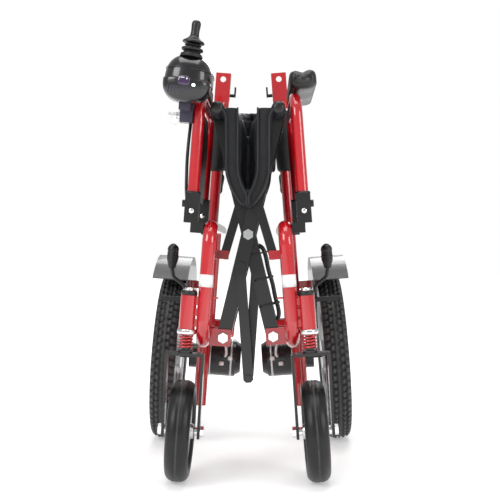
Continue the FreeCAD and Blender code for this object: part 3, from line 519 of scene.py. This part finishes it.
def seat_profile(depth, t):
    """Outer and inner edges, and the height, of the hanging seat at a depth and a share t.

    t runs from -1 at the left rail through nothing at the crease to 1 at the right rail. Beside
    the brace bars the sling narrows to pass between them, and its crease rides up over them.
    """
    pinch = np.maximum(bump_between(depth, DEPTH_MM["front_brace"] - 42,
                                    DEPTH_MM["front_brace"] + 42, 16.0),
                       bump_between(depth, DEPTH_MM["rear_brace"] - 34,
                                    DEPTH_MM["rear_brace"] + 34, 16.0))
    crease = CREASE_W + 32.0 * pinch
    share = np.abs(t)
    height = crease + (RAIL_W - crease) * share
    reach_out = 13.0 * np.clip((share - 0.88) / 0.12, 0, 1) ** 2
    flare = np.clip((height - crease) / 84.0, 0, 1)
    outer = 5.0 + 38.0 * np.sin(flare * np.pi / 2) ** 0.8
    bar = (height - CROSS_W) / math.tan(RISE) - BAR_HALF - BAR_GAP
    narrow = np.minimum(outer, np.maximum(bar, 2.6))
    outer = outer * (1 - pinch) + narrow * pinch
    inner = np.clip(outer - PAD_THICK, 0.6, None) * np.clip(flare * 3, 0, 1)
    outer = outer + reach_out * (1 - pinch)
    return outer, np.maximum(inner, 0.5), height


def seat_sling():
    """The folded seat: one padded cushion hanging in a V between its rails."""
    depth = np.linspace(DEPTH_MM["seat_front"], DEPTH_MM["seat_rear"], 130)[:, None]
    t = np.linspace(-1, 1, 41)[None, :]
    outer, inner, height = seat_profile(depth, t)
    side = np.where(t < 0, -1.0, 1.0)
    flat_depth = depth + 0 * t
    around = np.concatenate([
        np.stack([side * outer, flat_depth, height], -1),
        np.stack([side * inner, flat_depth, height + 7.0 * (1 - np.abs(t))], -1)[:, ::-1]], 1)
    cushion = skin("seat_cushion_sling", around / 1000, NYLON)
    filled(cushion, 0.004)
    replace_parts(cushion, "seat_cushion_left", "seat_cushion_right")
    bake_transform(cushion)


seat_sling()


def seat_binding(side, sign):
    """The bound front edge of a seat half: a flat-sided cord carried up the edge."""
    t = np.linspace(0.04, 0.99, 30)
    outer, inner, height = seat_profile(np.full(30, DEPTH_MM["seat_front"]), t)
    for edge, across in (("outer", outer - 1.5), ("inner", inner + 1.5)):
        line = np.stack([sign * across, np.full(30, DEPTH_MM["seat_front"] - 0.5), height], -1)
        cord = skin(f"seat_binding_{edge}_{side}", carried(line / 1000, 0.0019, count=10), BINDING)
        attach(cord, f"seat_{side}")


for side, sign in SIDES:
    seat_binding(side, sign)

RAIL_X_MM, RAIL_Z_MM = 59.5, 731.9


def rail_cover(side, sign, body):
    """The seat cloth wrapped round its rail, gathered at the front, and the rail's end plug."""
    depth = np.array([DEPTH_MM["seat_front"] - 1, -309, -300, -280, -200, -100, 0, 60, 72.0])
    size = np.array([11.4, 13.2, 14.2, 14.4, 13.6, 14.2, 13.6, 14.2, 12.0])
    line = eased(np.stack([0 * depth, depth, 0 * depth], -1), 140)
    wrap = np.interp(line[:, 1], depth, size)
    rings = carried(line, wrap, across=(0.0, 0.0, 1.0), count=40)
    angle = np.arctan2(rings[..., 2], rings[..., 0])
    pucker = 1 + 0.03 * np.sin(5 * angle + 0.05 * rings[..., 1])
    rings[..., ::2] *= pucker[..., None]
    cover = skin(f"seat_rail_cover_{side}",
                 (rings + [sign * RAIL_X_MM, 0, RAIL_Z_MM]) / 1000, NYLON)
    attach(cover, body)
    plug = turned([(0.3, 4.0), (7.0, 3.4), (10.6, 1.6), (11.3, 0.0), (11.3, -3.0)], 40)
    front = np.stack([plug[..., 0] + sign * RAIL_X_MM,
                      DEPTH_MM["seat_front"] - 1 - plug[..., 2], plug[..., 1] + RAIL_Z_MM], -1)
    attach(skin(f"seat_rail_plug_{side}", front / 1000, BLACK_PLASTIC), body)


rail_cover("left", -1, "brace_b")
rail_cover("right", 1, "brace_a")

POST_U, POST_Y = 20.0, 112.5
HINGE_Y, HINGE_W = POST_Y + 13.0, 838.0
FOLDED = math.radians(150.0)
BACK_SPAN = 205.0


def back_panel(name, roots, crease, up, height, starts, finish_at, arch=0.0):
    """A padded back panel: an oval section carried along the V from one post to the other.

    roots are the two post lines' lowest points, crease the fold's lowest point and up the way of
    the posts. The section is height tall and thin, and swells a little between its seams. Its
    lower edge climbs by the arch from the posts to the crease.
    """
    ends = [crease + (root - crease) * (1 - start / np.linalg.norm(root - crease))
            for root, start in zip(roots, starts)]
    share = np.linspace(-1, 1, 61)
    turn = np.sqrt(share ** 2 + 0.006)
    line = np.where(share[:, None] < 0, ends[0], ends[1])
    line = crease + (line - crease) * ((turn - turn[30]) / (turn[0] - turn[30]))[:, None]
    along = np.gradient(line, axis=0)
    along /= np.linalg.norm(along, axis=1, keepdims=True)
    across = np.cross(along, up)
    across /= np.linalg.norm(across, axis=1, keepdims=True)
    angle = np.linspace(0, 2 * np.pi, 56, endpoint=False)
    thick = 4.6 * power(np.cos(angle), 0.6)
    low = arch * (1 - np.abs(share)) ** 1.1
    tall = low[:, None] + (height - low[:, None]) / 2 * (1 + power(np.sin(angle), 0.35))
    grid = line[:, None] + across[:, None] * thick[:, None] + up * tall[..., None]
    panel = skin(name, grid / 1000, NYLON)
    filled(panel, 0.004, 0.005)
    for edge, lift in (("lower", low[2:-2, None] + 5.0), ("upper", height - 5.0)):
        inset = line[2:-2] + up * lift + across[2:-2] * 5.4
        seam = skin(f"{name}_{edge}_seam", carried(inset / 1000, 0.0013, up, 8), BINDING)
        finish_at(seam)
    return panel


def square_to(up):
    """Three directions: sideways, forwards and the given way up."""
    sideways = np.cross(up, [0.0, 1.0, 0.0])
    sideways /= np.linalg.norm(sideways)
    return np.stack([sideways, np.cross(up, sideways), up])


def sleeve(name, base, up, low, high, height, body):
    """The padded sleeve round a post: a wall with rounded lips, turned about the post.

    Its outer radius is a little larger at mid height and wavers where the cloth puckers.
    """
    lips = [(low, 0), (high - 5, 0), (high - 1.5, 3), (high, 9)]
    lips += [(high + 0.8, height * k) for k in (0.25, 0.4, 0.5, 0.6, 0.75)]
    lips += [(high, height - 12), (high - 2.5, height - 4), (high - 6, height), (low, height)]
    rings = turned(lips, 64)
    angle = np.arctan2(rings[..., 1], rings[..., 0])
    pucker = 0.5 * np.sin(7 * angle + 0.09 * rings[..., 2]) * np.sin(np.pi * rings[..., 2] / height)
    outside = np.linalg.norm(rings[..., :2], axis=-1, keepdims=True)
    rings[..., :2] *= 1 + (pucker[..., None] / outside) * (outside > high - 3)
    tube = skin(name, (base + rings @ square_to(up)) / 1000, NYLON, closed_rows=True)
    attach(tube, body)
    return tube


def post_up(sign):
    """The leaning direction of a side's posts."""
    return np.array([-sign * math.sin(LEAN), 0.0, math.cos(LEAN)])


def lower_back():
    """The lower back upholstery with its two sleeves, and the white tacks at their tops."""
    low, height = 642.0, 144.0
    roots = [1000 * on_side(sign, (POST_U, POST_Y, low)) for _, sign in SIDES]
    reach = BACK_SPAN * math.cos(math.radians(21.9))
    crease = np.array([0.0, POST_Y + reach - 4.0, low])
    panel = back_panel("back_panel_lower", roots, crease, np.array([0.0, 0.0, 1.0]), height,
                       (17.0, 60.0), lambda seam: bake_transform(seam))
    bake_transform(panel)
    bodies = {"left": "back_low_left", "right": "frame_right"}
    for (side, sign), root in zip(SIDES, roots):
        tube = sleeve(f"back_post_sleeve_{side}", root, post_up(sign), 12.9, 19.6, height,
                      bodies[side])
        if side == "right":
            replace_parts(tube, "back_sleeve_right")
        tacks = []
        for k in range(7):
            turn = math.radians(200 + 22 * k)
            spot = np.array([19.9 * math.cos(turn), 19.9 * math.sin(turn)])
            ends = np.array([[*spot, height - 15.0], [*spot, height - 11.0]])
            tacks.append(carried((root + ends @ square_to(post_up(sign))) / 1000, 0.0008, count=8))
        tack = several(f"sleeve_tacks_{side}", tacks, THREAD)
        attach(tack, bodies[side])
    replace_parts(panel, "back_lower_left", "back_lower_right")


def upper_back():
    """The upper back upholstery, hanging behind with its folded posts."""
    up = np.array([0.0, math.sin(FOLDED), math.cos(FOLDED)])
    on = np.array([0.0, -math.cos(FOLDED), math.sin(FOLDED)])
    foot = np.array([POST_U, HINGE_Y, HINGE_W]) + up * 68.0
    roots = [1000 * on_side(sign, foot) for _, sign in SIDES]
    reach = BACK_SPAN * math.cos(math.radians(21.5))
    crease = np.array([0.0, *(roots[0] + on * (reach - 4.0))[1:]])
    panel = back_panel("back_panel_upper", roots, crease, up, 104.0, (15.0, 46.0),
                       lambda seam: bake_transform(seam),
                       arch=70.0)
    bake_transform(panel)
    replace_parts(panel, "back_upper_left", "back_upper_right")


upper_back()
lower_back()


def arm_pad(side, sign, front, rear):
    """A moulded arm pad: a saddle-topped section carried back, drawn in to rounded ends.

    The section is a squared oval whose top dips in the middle. Near each end it shrinks by the
    root of one less the square of the share into the end, as a quarter circle does.
    """
    depth = front + (rear - front) * (0.5 - 0.5 * np.cos(np.linspace(0, np.pi, 60)))
    into = np.clip(np.maximum(front + 20 - depth, depth - rear + 20) / 20, 0, 0.97)
    shrink = np.sqrt(1 - into ** 2)[:, None]
    angle = np.linspace(0, 2 * np.pi, 64, endpoint=False)[None, :]
    across = 27.0 * power(np.cos(angle), 0.55)
    rise = power(np.sin(angle), 0.55)
    dip = 5.5 * np.exp(-(across / 9.0) ** 2) * (rise > 0)
    height = np.where(rise > 0, 18 + 22.0 * rise - dip, 18 + 17.0 * rise)
    grid = np.stack(np.broadcast_arrays(56.5 + across * (0.5 + 0.5 * shrink),
                                        depth[:, None] + 0 * angle,
                                        768.5 + 18 + (height - 18) * (0.35 + 0.65 * shrink)), -1)
    pad = skin(f"arm_pad_{side}", on_side(sign, grid), PAD)
    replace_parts(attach(pad, f"arm_{side}"), f"armrest_pad_{side}")


arm_pad("left", -1, -236.0, -40.0)
arm_pad("right", 1, -300.0, -40.0)

# ---------------------------------------------------------------- joystick controller

SHELL = {"half": 46.0, "long": 65.0, "tall": 52.0, "deep": 41.0, "base_rear": 6.0}
STICK_Y = -34.0


def shell(low, high, tall, deep, rows=60, columns=72):
    """A rounded case: a squared ellipsoid with separate heights above and below its joint line.

    Sections shrink towards both ends as the root of one less the fourth power of the share.
    """
    share = np.cos(np.linspace(np.pi, 0, rows))[:, None] * 0.995
    shrink = (1 - share ** 4) ** 0.45
    angle = np.linspace(0, 2 * np.pi, columns, endpoint=False)[None, :]
    across = SHELL["half"] * shrink * power(np.cos(angle), 0.78)
    rise = power(np.sin(angle), 0.78)
    height = np.where(rise > 0, tall * rise, deep * rise) * shrink
    depth = (low + high) / 2 + (high - low) / 2 * share + 0 * angle
    return np.stack(np.broadcast_arrays(across, depth, height), -1)


def front_of_shell(x, z):
    """The depth of the case's front face at a place across and up it."""
    tall = np.where(z > 0, SHELL["tall"], SHELL["deep"])
    centre = np.where(z > 0, 0.0, (SHELL["base_rear"] - SHELL["long"]) / 2)
    wide = (np.abs(x) / SHELL["half"]) ** 2.56 + (np.abs(z) / tall) ** 2.56
    shrink = np.clip(wide, 0, 1) ** (1 / 2.56)
    return centre - (centre + SHELL["long"]) * (1 - shrink ** (1 / 0.45)) ** 0.25


def on_face(x, z, width, tall, proud, finish, name):
    """A thin raised patch with round corners that follows the case's front face."""
    angle = np.linspace(0, 2 * np.pi, 40, endpoint=False)[None, :]
    size = np.array([1.0, 1.0, 0.86, 0.4, 0.02])[:, None]
    out = np.array([-1.5, 0.5, 1.0, 1.0, 1.0])[:, None] * proud
    across = x + width / 2 * size * power(np.cos(angle), 0.5)
    height = z + tall / 2 * size * power(np.sin(angle), 0.5)
    grid = np.stack([across, front_of_shell(across, height) - out, height], -1)
    patch = skin(name, on_controller(grid), finish)
    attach(patch, "arm_left")


def controller():
    """The case halves with their lip, window, lamp, cooling slots and the switch's collar."""
    top = skin("controller_case_top", on_controller(shell(-65, 65, 52.0, 1.2)), GLOSS_BLACK)
    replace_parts(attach(top, "arm_left"), "controller_top_case")
    low = skin("controller_case_base", on_controller(shell(
        -65, SHELL["base_rear"], 0.6, SHELL["deep"])), GLOSS_BLACK)
    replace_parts(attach(low, "arm_left"), "controller_bottom_case")
    angle = np.linspace(0, 2 * np.pi, 120, endpoint=False)
    ring = np.stack([45.4 * power(np.cos(angle), 0.6), 62.0 * power(np.sin(angle), 0.5),
                     21.0 + 0 * angle], -1)
    lip = skin("controller_joint_lip", carried_ring(ring, 0.7), BLACK_PLASTIC, True)
    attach(lip, "arm_left")
    on_face(-4.0, -3.0, 23.0, 17.0, 0.7, WINDOW, "controller_window")
    on_face(15.5, -9.0, 6.0, 5.0, 0.9, LED, "controller_lamp")
    on_face(-7.0, 2.0, 8.0, 1.6, 1.2, WHITE_PLASTIC, "controller_window_key")
    on_face(1.5, 1.0, 3.0, 3.0, 1.2, WHITE_PLASTIC, "controller_window_dot")
    slots = []
    for k in range(7):
        x = -32.0 + 6.0 * k
        rise = np.linspace(-27.0, -14.0, 12)
        line = np.stack([x + 0 * rise, front_of_shell(x, rise) - 0.4, rise], -1)
        slots.append(carried(on_controller(line), 0.0012, across=(1.0, 0.0, 0.0), count=8))
    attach(several("controller_cooling_ribs", slots, SLATE),
            "arm_left")
    collar = turned([(6.2, 0), (9.2, 0), (9.6, 1.6), (8.6, 2.8), (6.6, 2.8), (6.2, 2)])
    collar = collar + [0, 26.0, 49.6]
    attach(skin("switch_collar", on_controller(collar), BLACK_PLASTIC, True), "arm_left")


def carried_ring(points, radius, count=10):
    """A closed cord round a level ring of controller points."""
    along = np.roll(points, -1, 0) - np.roll(points, 1, 0)
    along /= np.linalg.norm(along, axis=1, keepdims=True)
    side = np.cross(along, [0.0, 0.0, 1.0])
    angle = np.linspace(0, 2 * np.pi, count, endpoint=False)[None, :, None]
    grid = points[:, None] + radius * (side[:, None] * np.cos(angle)
                                       + np.array([0, 0, 1.0]) * np.sin(angle))
    return on_controller(grid)


controller()

BELLOWS_FOOT = [(0.5, 46), (20.5, 46), (21.3, 49.5), (20.4, 52.5), (16.5, 54), (15.8, 55),
                (16.2, 56.3), (9.0, 56.6), (0.5, 56.6)]
BELLOWS = [(0.5, 58.0), (15.5, 58.0), (19.8, 59.2), (21.0, 61.6), (19.6, 64.0), (14.6, 65.6),
           (13.2, 66.6), (14.2, 67.8), (16.2, 69.2), (14.6, 71.0), (9.0, 71.8), (0.5, 71.8)]
GRIP = [(0.5, 72.6), (9.5, 72.8), (19.6, 73.6), (21.0, 75.0), (20.2, 77.4), (15.5, 80.6),
        (11.2, 84.2), (8.9, 88.0), (8.2, 93.0), (8.2, 99.0), (8.6, 105.0), (8.9, 109.5),
        (8.3, 113.2), (6.4, 116.2), (3.4, 117.6), (0.5, 117.9)]


def joystick():
    """The stick: a fixed bellows foot, the rocking bellows and the grip with its skirt."""
    for name, profile, body, node, finish in (
            ("joystick_bellows_foot", BELLOWS_FOOT, "arm_left", None, RUBBER),
            ("joystick_bellows", BELLOWS, "joystick_base", "joystick_boot", RUBBER),
            ("joystick_grip", GRIP, "joystick", "joystick_knob", BLACK_PLASTIC)):
        rounded = eased(profile, 4 * len(profile))
        rings = turned(np.maximum(rounded, [0.2, 0]), 56) + [0, STICK_Y, 0]
        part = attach(skin(name, on_controller(rings), finish), body)
        if node:
            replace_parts(part, node)


joystick()


def knob_tether():
    """The thin white cord that keeps the clamp knob on its mount, held at both ends."""
    line = on_side(-1, [(77, -300, 722), (86, -305, 718), (93, -306, 708), (92, -304, 698),
                        (84, -302, 696), (78, -300, 703)])
    tether = skin("knob_tether", carried(eased(line, 60), 0.0008, count=8), THREAD)
    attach(tether, "arm_left")


knob_tether()

# ---------------------------------------------------------------- cables

CONTROLLER_ROUTE = [(58, -262, 771), (57, -263, 742), (56, -272, 706), (57, -281, 668),
                    (57, -286, 632), (56, -282, 600), (56, -268, 573), (56, -240, 557),
                    (55, -200, 553), (56, -155, 556), (55, -110, 553), (56, -68, 557),
                    (55, -30, 566), (54, 4, 580)]
HARNESS_STEPS = [(186, 14.3), (182, 22), (160, 24), (132, 22), (104, 24.5), (76, 22.5), (52, 24),
                 (34, 21), (29, 14.3)]
PIVOT_MM = (50.0, 281.0)


def held_cable(name, points, radius, finish, body, node):
    """A cable held along its way: a round section on one smooth NURBS line through its route."""
    curve = bpy.data.curves.new(name, "CURVE")
    curve.dimensions = "3D"
    spline = curve.splines.new("NURBS")
    spline.points.add(len(points) - 1)
    spline.points.foreach_set("co", np.c_[points, np.ones(len(points))].ravel())
    spline.order_u, spline.use_endpoint_u, spline.resolution_u = 3, True, 10
    curve.bevel_depth, curve.bevel_resolution, curve.use_fill_caps = radius, 5, True
    curve.materials.append(finish)
    obj = bpy.data.objects.new(name, curve)
    bpy.context.scene.collection.objects.link(obj)
    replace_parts(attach(obj, body), node)


def harness_points(steps):
    """Distances down the brace bar and clearances off it, to row metres beside the bar."""
    down, out = np.array(steps, float).T
    x = PIVOT_MM[0] - down * math.cos(RISE) + out * math.sin(RISE)
    z = PIVOT_MM[1] + down * math.sin(RISE) + out * math.cos(RISE)
    return np.stack([x, np.full(len(x), DEPTH_MM["front_brace"] + 16), z], -1) / 1000


held_cable("controller_lead", on_side(-1, CONTROLLER_ROUTE), 0.0032, RUBBER, "arm_left",
           "controller_cable")
held_cable("motor_harness", harness_points(HARNESS_STEPS), 0.0045, RUBBER, "brace_b",
           "wiring_harness")


def cable_ties():
    """Narrow bands round the harness and the bar it is tied to, each with a square head."""
    bands = []
    for down in (64.0, 118.0, 170.0):
        angle = np.linspace(0, 2 * np.pi, 40, endpoint=False)
        across = 7.5 + 21.0 * power(np.cos(angle), 0.45)
        depth = 20.5 * power(np.sin(angle), 0.45)
        x = PIVOT_MM[0] - down * math.cos(RISE) + across * math.sin(RISE)
        z = PIVOT_MM[1] + down * math.sin(RISE) + across * math.cos(RISE)
        y = DEPTH_MM["front_brace"] + 15.5 + depth
        loop = np.stack([x, y, z], -1)
        lift = np.array([-math.cos(RISE), 0, math.sin(RISE)]) * 1.7
        centre = loop.mean(0)
        outward = (loop - centre) / np.linalg.norm(loop - centre, axis=1, keepdims=True)
        bands.append(np.stack([loop - lift, loop + lift, loop + lift + outward * 1.1,
                               loop - lift + outward * 1.1], 1) / 1000)
    for k, band in enumerate(bands):
        tie = skin(f"cable_tie_{k + 1}", band, BLACK_PLASTIC, True, False)
        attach(tie, "brace_b")


cable_ties()

# ---------------------------------------------------------------- grips, bands and small trim


def ribbed(name, points, radius, ribs, depth, finish, body, node=None):
    """A moulded grip: rings along a line whose radius waves in even ribs between plain ends."""
    line = eased(points, 12 * ribs)
    share = np.linspace(0, 1, len(line))
    wave = 0.5 + 0.5 * np.cos(2 * np.pi * ribs * share)
    plain = bump_between(share, 0.07, 0.93, 0.05)
    size = np.interp(share, np.linspace(0, 1, len(radius)), radius) - depth * wave * plain
    ends = np.sqrt(np.clip(1 - np.clip((np.abs(share - 0.5) - 0.45) / 0.05, 0, 0.985) ** 2, 0, 1))
    grip = skin(name, carried(line, size * ends / 1000, across=(1.0, 0.0, 0.0), count=40), finish)
    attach(grip, body)
    if node:
        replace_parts(grip, node)


STEM_U, STEM_Y = 31.0, -317.5
SOCKET_U = 39.5
MOTOR_AXLE = [0.0, 174.5, 196.1]


def side_trim(side, sign):
    """Everything small on one side: grips, bands, collars, caps, plugs and the motor's conduit."""
    brake_y = -65.5
    ribbed(f"brake_grip_{side}", on_side(sign, [(92, brake_y, 409.5), (92, brake_y, 425),
                                                (92, brake_y, 440), (92, brake_y, 464.6)]),
           (8.0, 8.8, 10.6, 12.4, 13.2, 13.2, 12.2, 9.6, 5.5), 9, 0.7, RUBBER, f"brake_{side}")
    back = np.array([22.0, 45.0, 70.0, 96.5])
    grip_line = np.stack([np.full(4, POST_U),
                          HINGE_Y + back * math.cos(FOLDED) + 220 * math.sin(FOLDED),
                          HINGE_W - back * math.sin(FOLDED) + 220 * math.cos(FOLDED)], -1)
    ribbed(f"push_grip_sleeve_{side}", on_side(sign, grip_line), (15.2, 15.2, 14.6, 15.4), 12, 1.0,
           RUBBER, f"upper_frame_{side}", f"push_grip_{side}")

    def ring(name, u, y, profile, finish, slot, body):
        rings = turned(profile, 56) + [u, y, 0.0]
        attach(skin(name, on_side(sign, rings), finish, True), body)

    ring(f"reflective_band_{side}", 0.0, STEM_Y,
         [(13.55, 386), (13.95, 386), (13.95, 410), (13.55, 410)], REFLECTIVE, "clear",
         f"frame_{side}")
    ring(f"barrel_collar_{side}", STEM_U, STEM_Y,
         [(15.6, 293), (17.6, 293), (18.2, 295), (18.2, 300), (17.4, 302), (15.6, 302)], CHROME,
         "chrome", f"frame_{side}")
    ring(f"barrel_cap_{side}", STEM_U, STEM_Y,
         [(9.5, 377), (14.5, 377), (15.8, 374), (16.4, 368.3), (9.5, 368.3)], BLACK_PLASTIC,
         "black_plastic", f"frame_{side}")
    ring(f"stem_nut_ring_{side}", STEM_U, STEM_Y,
         [(8.1, 377.3), (9.2, 377.3), (9.4, 380), (8.8, 382), (8.1, 382)], CHROME, "chrome",
         f"frame_{side}")
    for place, y in (("front", -292.0), ("rear", 30.0)):
        ring(f"socket_lip_{place}_{side}", SOCKET_U, y,
             [(11.65, 564.5), (15.2, 564.5), (15.6, 566.5), (14.4, 569), (11.65, 569)],
             BLACK_PLASTIC, "black_plastic", f"frame_{side}")
        plug = turned([(0.3, 0.0), (5.0, 0.0), (5.6, 1.2), (4.4, 2.4), (0.3, 2.8)], 32)[:, ::-1]
        front = np.stack([plug[..., 0] + SOCKET_U, y - 14 - plug[..., 2], plug[..., 1] + 531.0], -1)
        pin = skin(f"socket_pin_{place}_{side}", on_side(sign, front), CHROME)
        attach(pin, f"frame_{side}")
    flange = turned([(45.1, -3), (46.4, -2.2), (46.4, 2.2), (45.1, 3)], 72)
    flanges = {"inner": -46.0, "outer": 5.0}
    for name, along in flanges.items():
        rings = np.stack([flange[..., 2] + along, flange[..., 0], flange[..., 1]], -1)
        band = skin(f"motor_flange_{name}_{side}",
                    on_side(sign, rings + MOTOR_AXLE), STEEL, True)
        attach(band, f"frame_{side}")
    screws = []
    for k in range(6):
        turn = 2 * np.pi * (k + 0.5) / 6
        head = turned([(0.2, -2.6), (2.6, -2.4), (3.1, -1.0), (3.1, 0.5)], 14)
        rings = np.stack([head[..., 2] - 56.0, head[..., 0] + 38 * math.sin(turn),
                          head[..., 1] + 38 * math.cos(turn)], -1)
        screws.append(on_side(sign, rings + MOTOR_AXLE))
    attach(several(f"motor_screws_{side}", screws, STEEL), f"frame_{side}")
    conduit = eased(on_side(sign, [(-32, 131, 205), (-34, 118, 214), (-31, 112, 232),
                                   (-20, 110, 250), (-8, 111, 262), (4, 113, 264)]), 150)
    wave = 4.6 + 0.5 * np.cos(np.linspace(0, 2 * np.pi * 30, 150))
    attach(skin(f"motor_conduit_{side}", carried(conduit, wave / 1000, (1.0, 0, 0)),
                         STEEL), f"frame_{side}")
    for k, spot in enumerate(((-44.0, 132.0, 199.0), (-24.0, 129.0, 186.0))):
        reach = np.linspace(-7, 7, 9)
        size = np.sqrt(np.clip(1 - (np.abs(reach) / 7.4) ** 8, 0, 1))[:, None]
        angle = np.linspace(0, 2 * np.pi, 24, endpoint=False)[None, :]
        grid = np.stack(np.broadcast_arrays(spot[0] + 6.0 * size * power(np.cos(angle), 0.4),
                                            spot[1] + reach[:, None],
                                            spot[2] + 4.5 * size * power(np.sin(angle), 0.4)), -1)
        plug = skin(f"motor_connector_{k + 1}_{side}", on_side(sign, grid), WHITE_PLASTIC)
        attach(plug, f"frame_{side}")


for side, sign in SIDES:
    side_trim(side, sign)

# ---------------------------------------------------------------- floor, light and camera


def studio():
    """A pale floor with a painted glow that brightens away from the chair to meet a white surround,
    soft lights from both sides and above.
    """
    finish = Finish("pale_floor", Roughness=0.6, Emission_Strength=1.0)
    away = finish.node("VectorMath", {"operation": "LENGTH"}, {0: finish.place}, output=1)
    cloud = finish.between(finish.noise(1.4), 0.35, 0.7)
    # Painted light: the floor's emission is dim beside the chair and grows brighter further out,
    # where it fades into the surround.
    finish.vary(Base_Color=finish.mixed(cloud, grey(0.86), grey(0.88)),
                Emission_Color=finish.mixed(finish.between(away, 0.5, 2.6), grey(0.33),
                                            grey(0.8)))
    reach = 14.0
    corners = np.array([(-reach, -reach, 0), (reach, -reach, 0), (reach, reach, 0),
                        (-reach, reach, 0)])
    piece("floor", corners, [[0, 1, 2, 3]], finish.material, False)
    world = bpy.data.worlds.new("white_surround")
    bpy.context.scene.world = world
    world.use_nodes = True
    surround = world.node_tree.nodes["Background"]
    surround.inputs["Color"].default_value = (1.0, 1.0, 1.0, 1)
    rays = world.node_tree.nodes.new("ShaderNodeLightPath")
    level = world.node_tree.nodes.new("ShaderNodeMapRange")
    level.inputs["To Min"].default_value, level.inputs["To Max"].default_value = 0.5, 1.0
    world.node_tree.links.new(rays.outputs["Is Camera Ray"], level.inputs["Value"])
    world.node_tree.links.new(level.outputs["Result"], surround.inputs["Strength"])
    for name, spot, size, watts, aim in (
            ("key_softbox", (-1.9, -2.2, 2.1), 1.5, 46.0, (0, 0, 0.5)),
            ("fill_softbox", (2.3, -1.7, 1.4), 1.2, 24.0, (0, 0, 0.45)),
            ("top_softbox", (0.0, -0.3, 2.9), 1.8, 34.0, (0, 0, 0.3)),
            ("rear_softbox", (0.3, 2.3, 2.0), 1.4, 22.0, (0, 0, 0.5))):
        light = bpy.data.lights.new(name, "AREA")
        light.shape, light.size, light.energy = "SQUARE", size, watts
        holder = bpy.data.objects.new(name, light)
        holder.location = spot
        holder.rotation_euler = (Vector(aim) - Vector(spot)).to_track_quat("-Z", "Y").to_euler()
        bpy.context.scene.collection.objects.link(holder)


def camera():
    """A level camera a little above half height, two metres in front of the casters."""
    lens = bpy.data.cameras.new("front_camera")
    lens.sensor_width, lens.lens = 36.0, 69.4
    lens.dof.use_dof = False
    holder = bpy.data.objects.new("front_camera", lens)
    holder.location = (0.0349, -2.1775, 0.461)
    holder.rotation_euler = (math.pi / 2 - 0.0026, 0.0, 0.0163)
    bpy.context.scene.collection.objects.link(holder)
    bpy.context.scene.camera = holder


studio()
camera()
bpy.context.scene.view_settings.view_transform = "Standard"
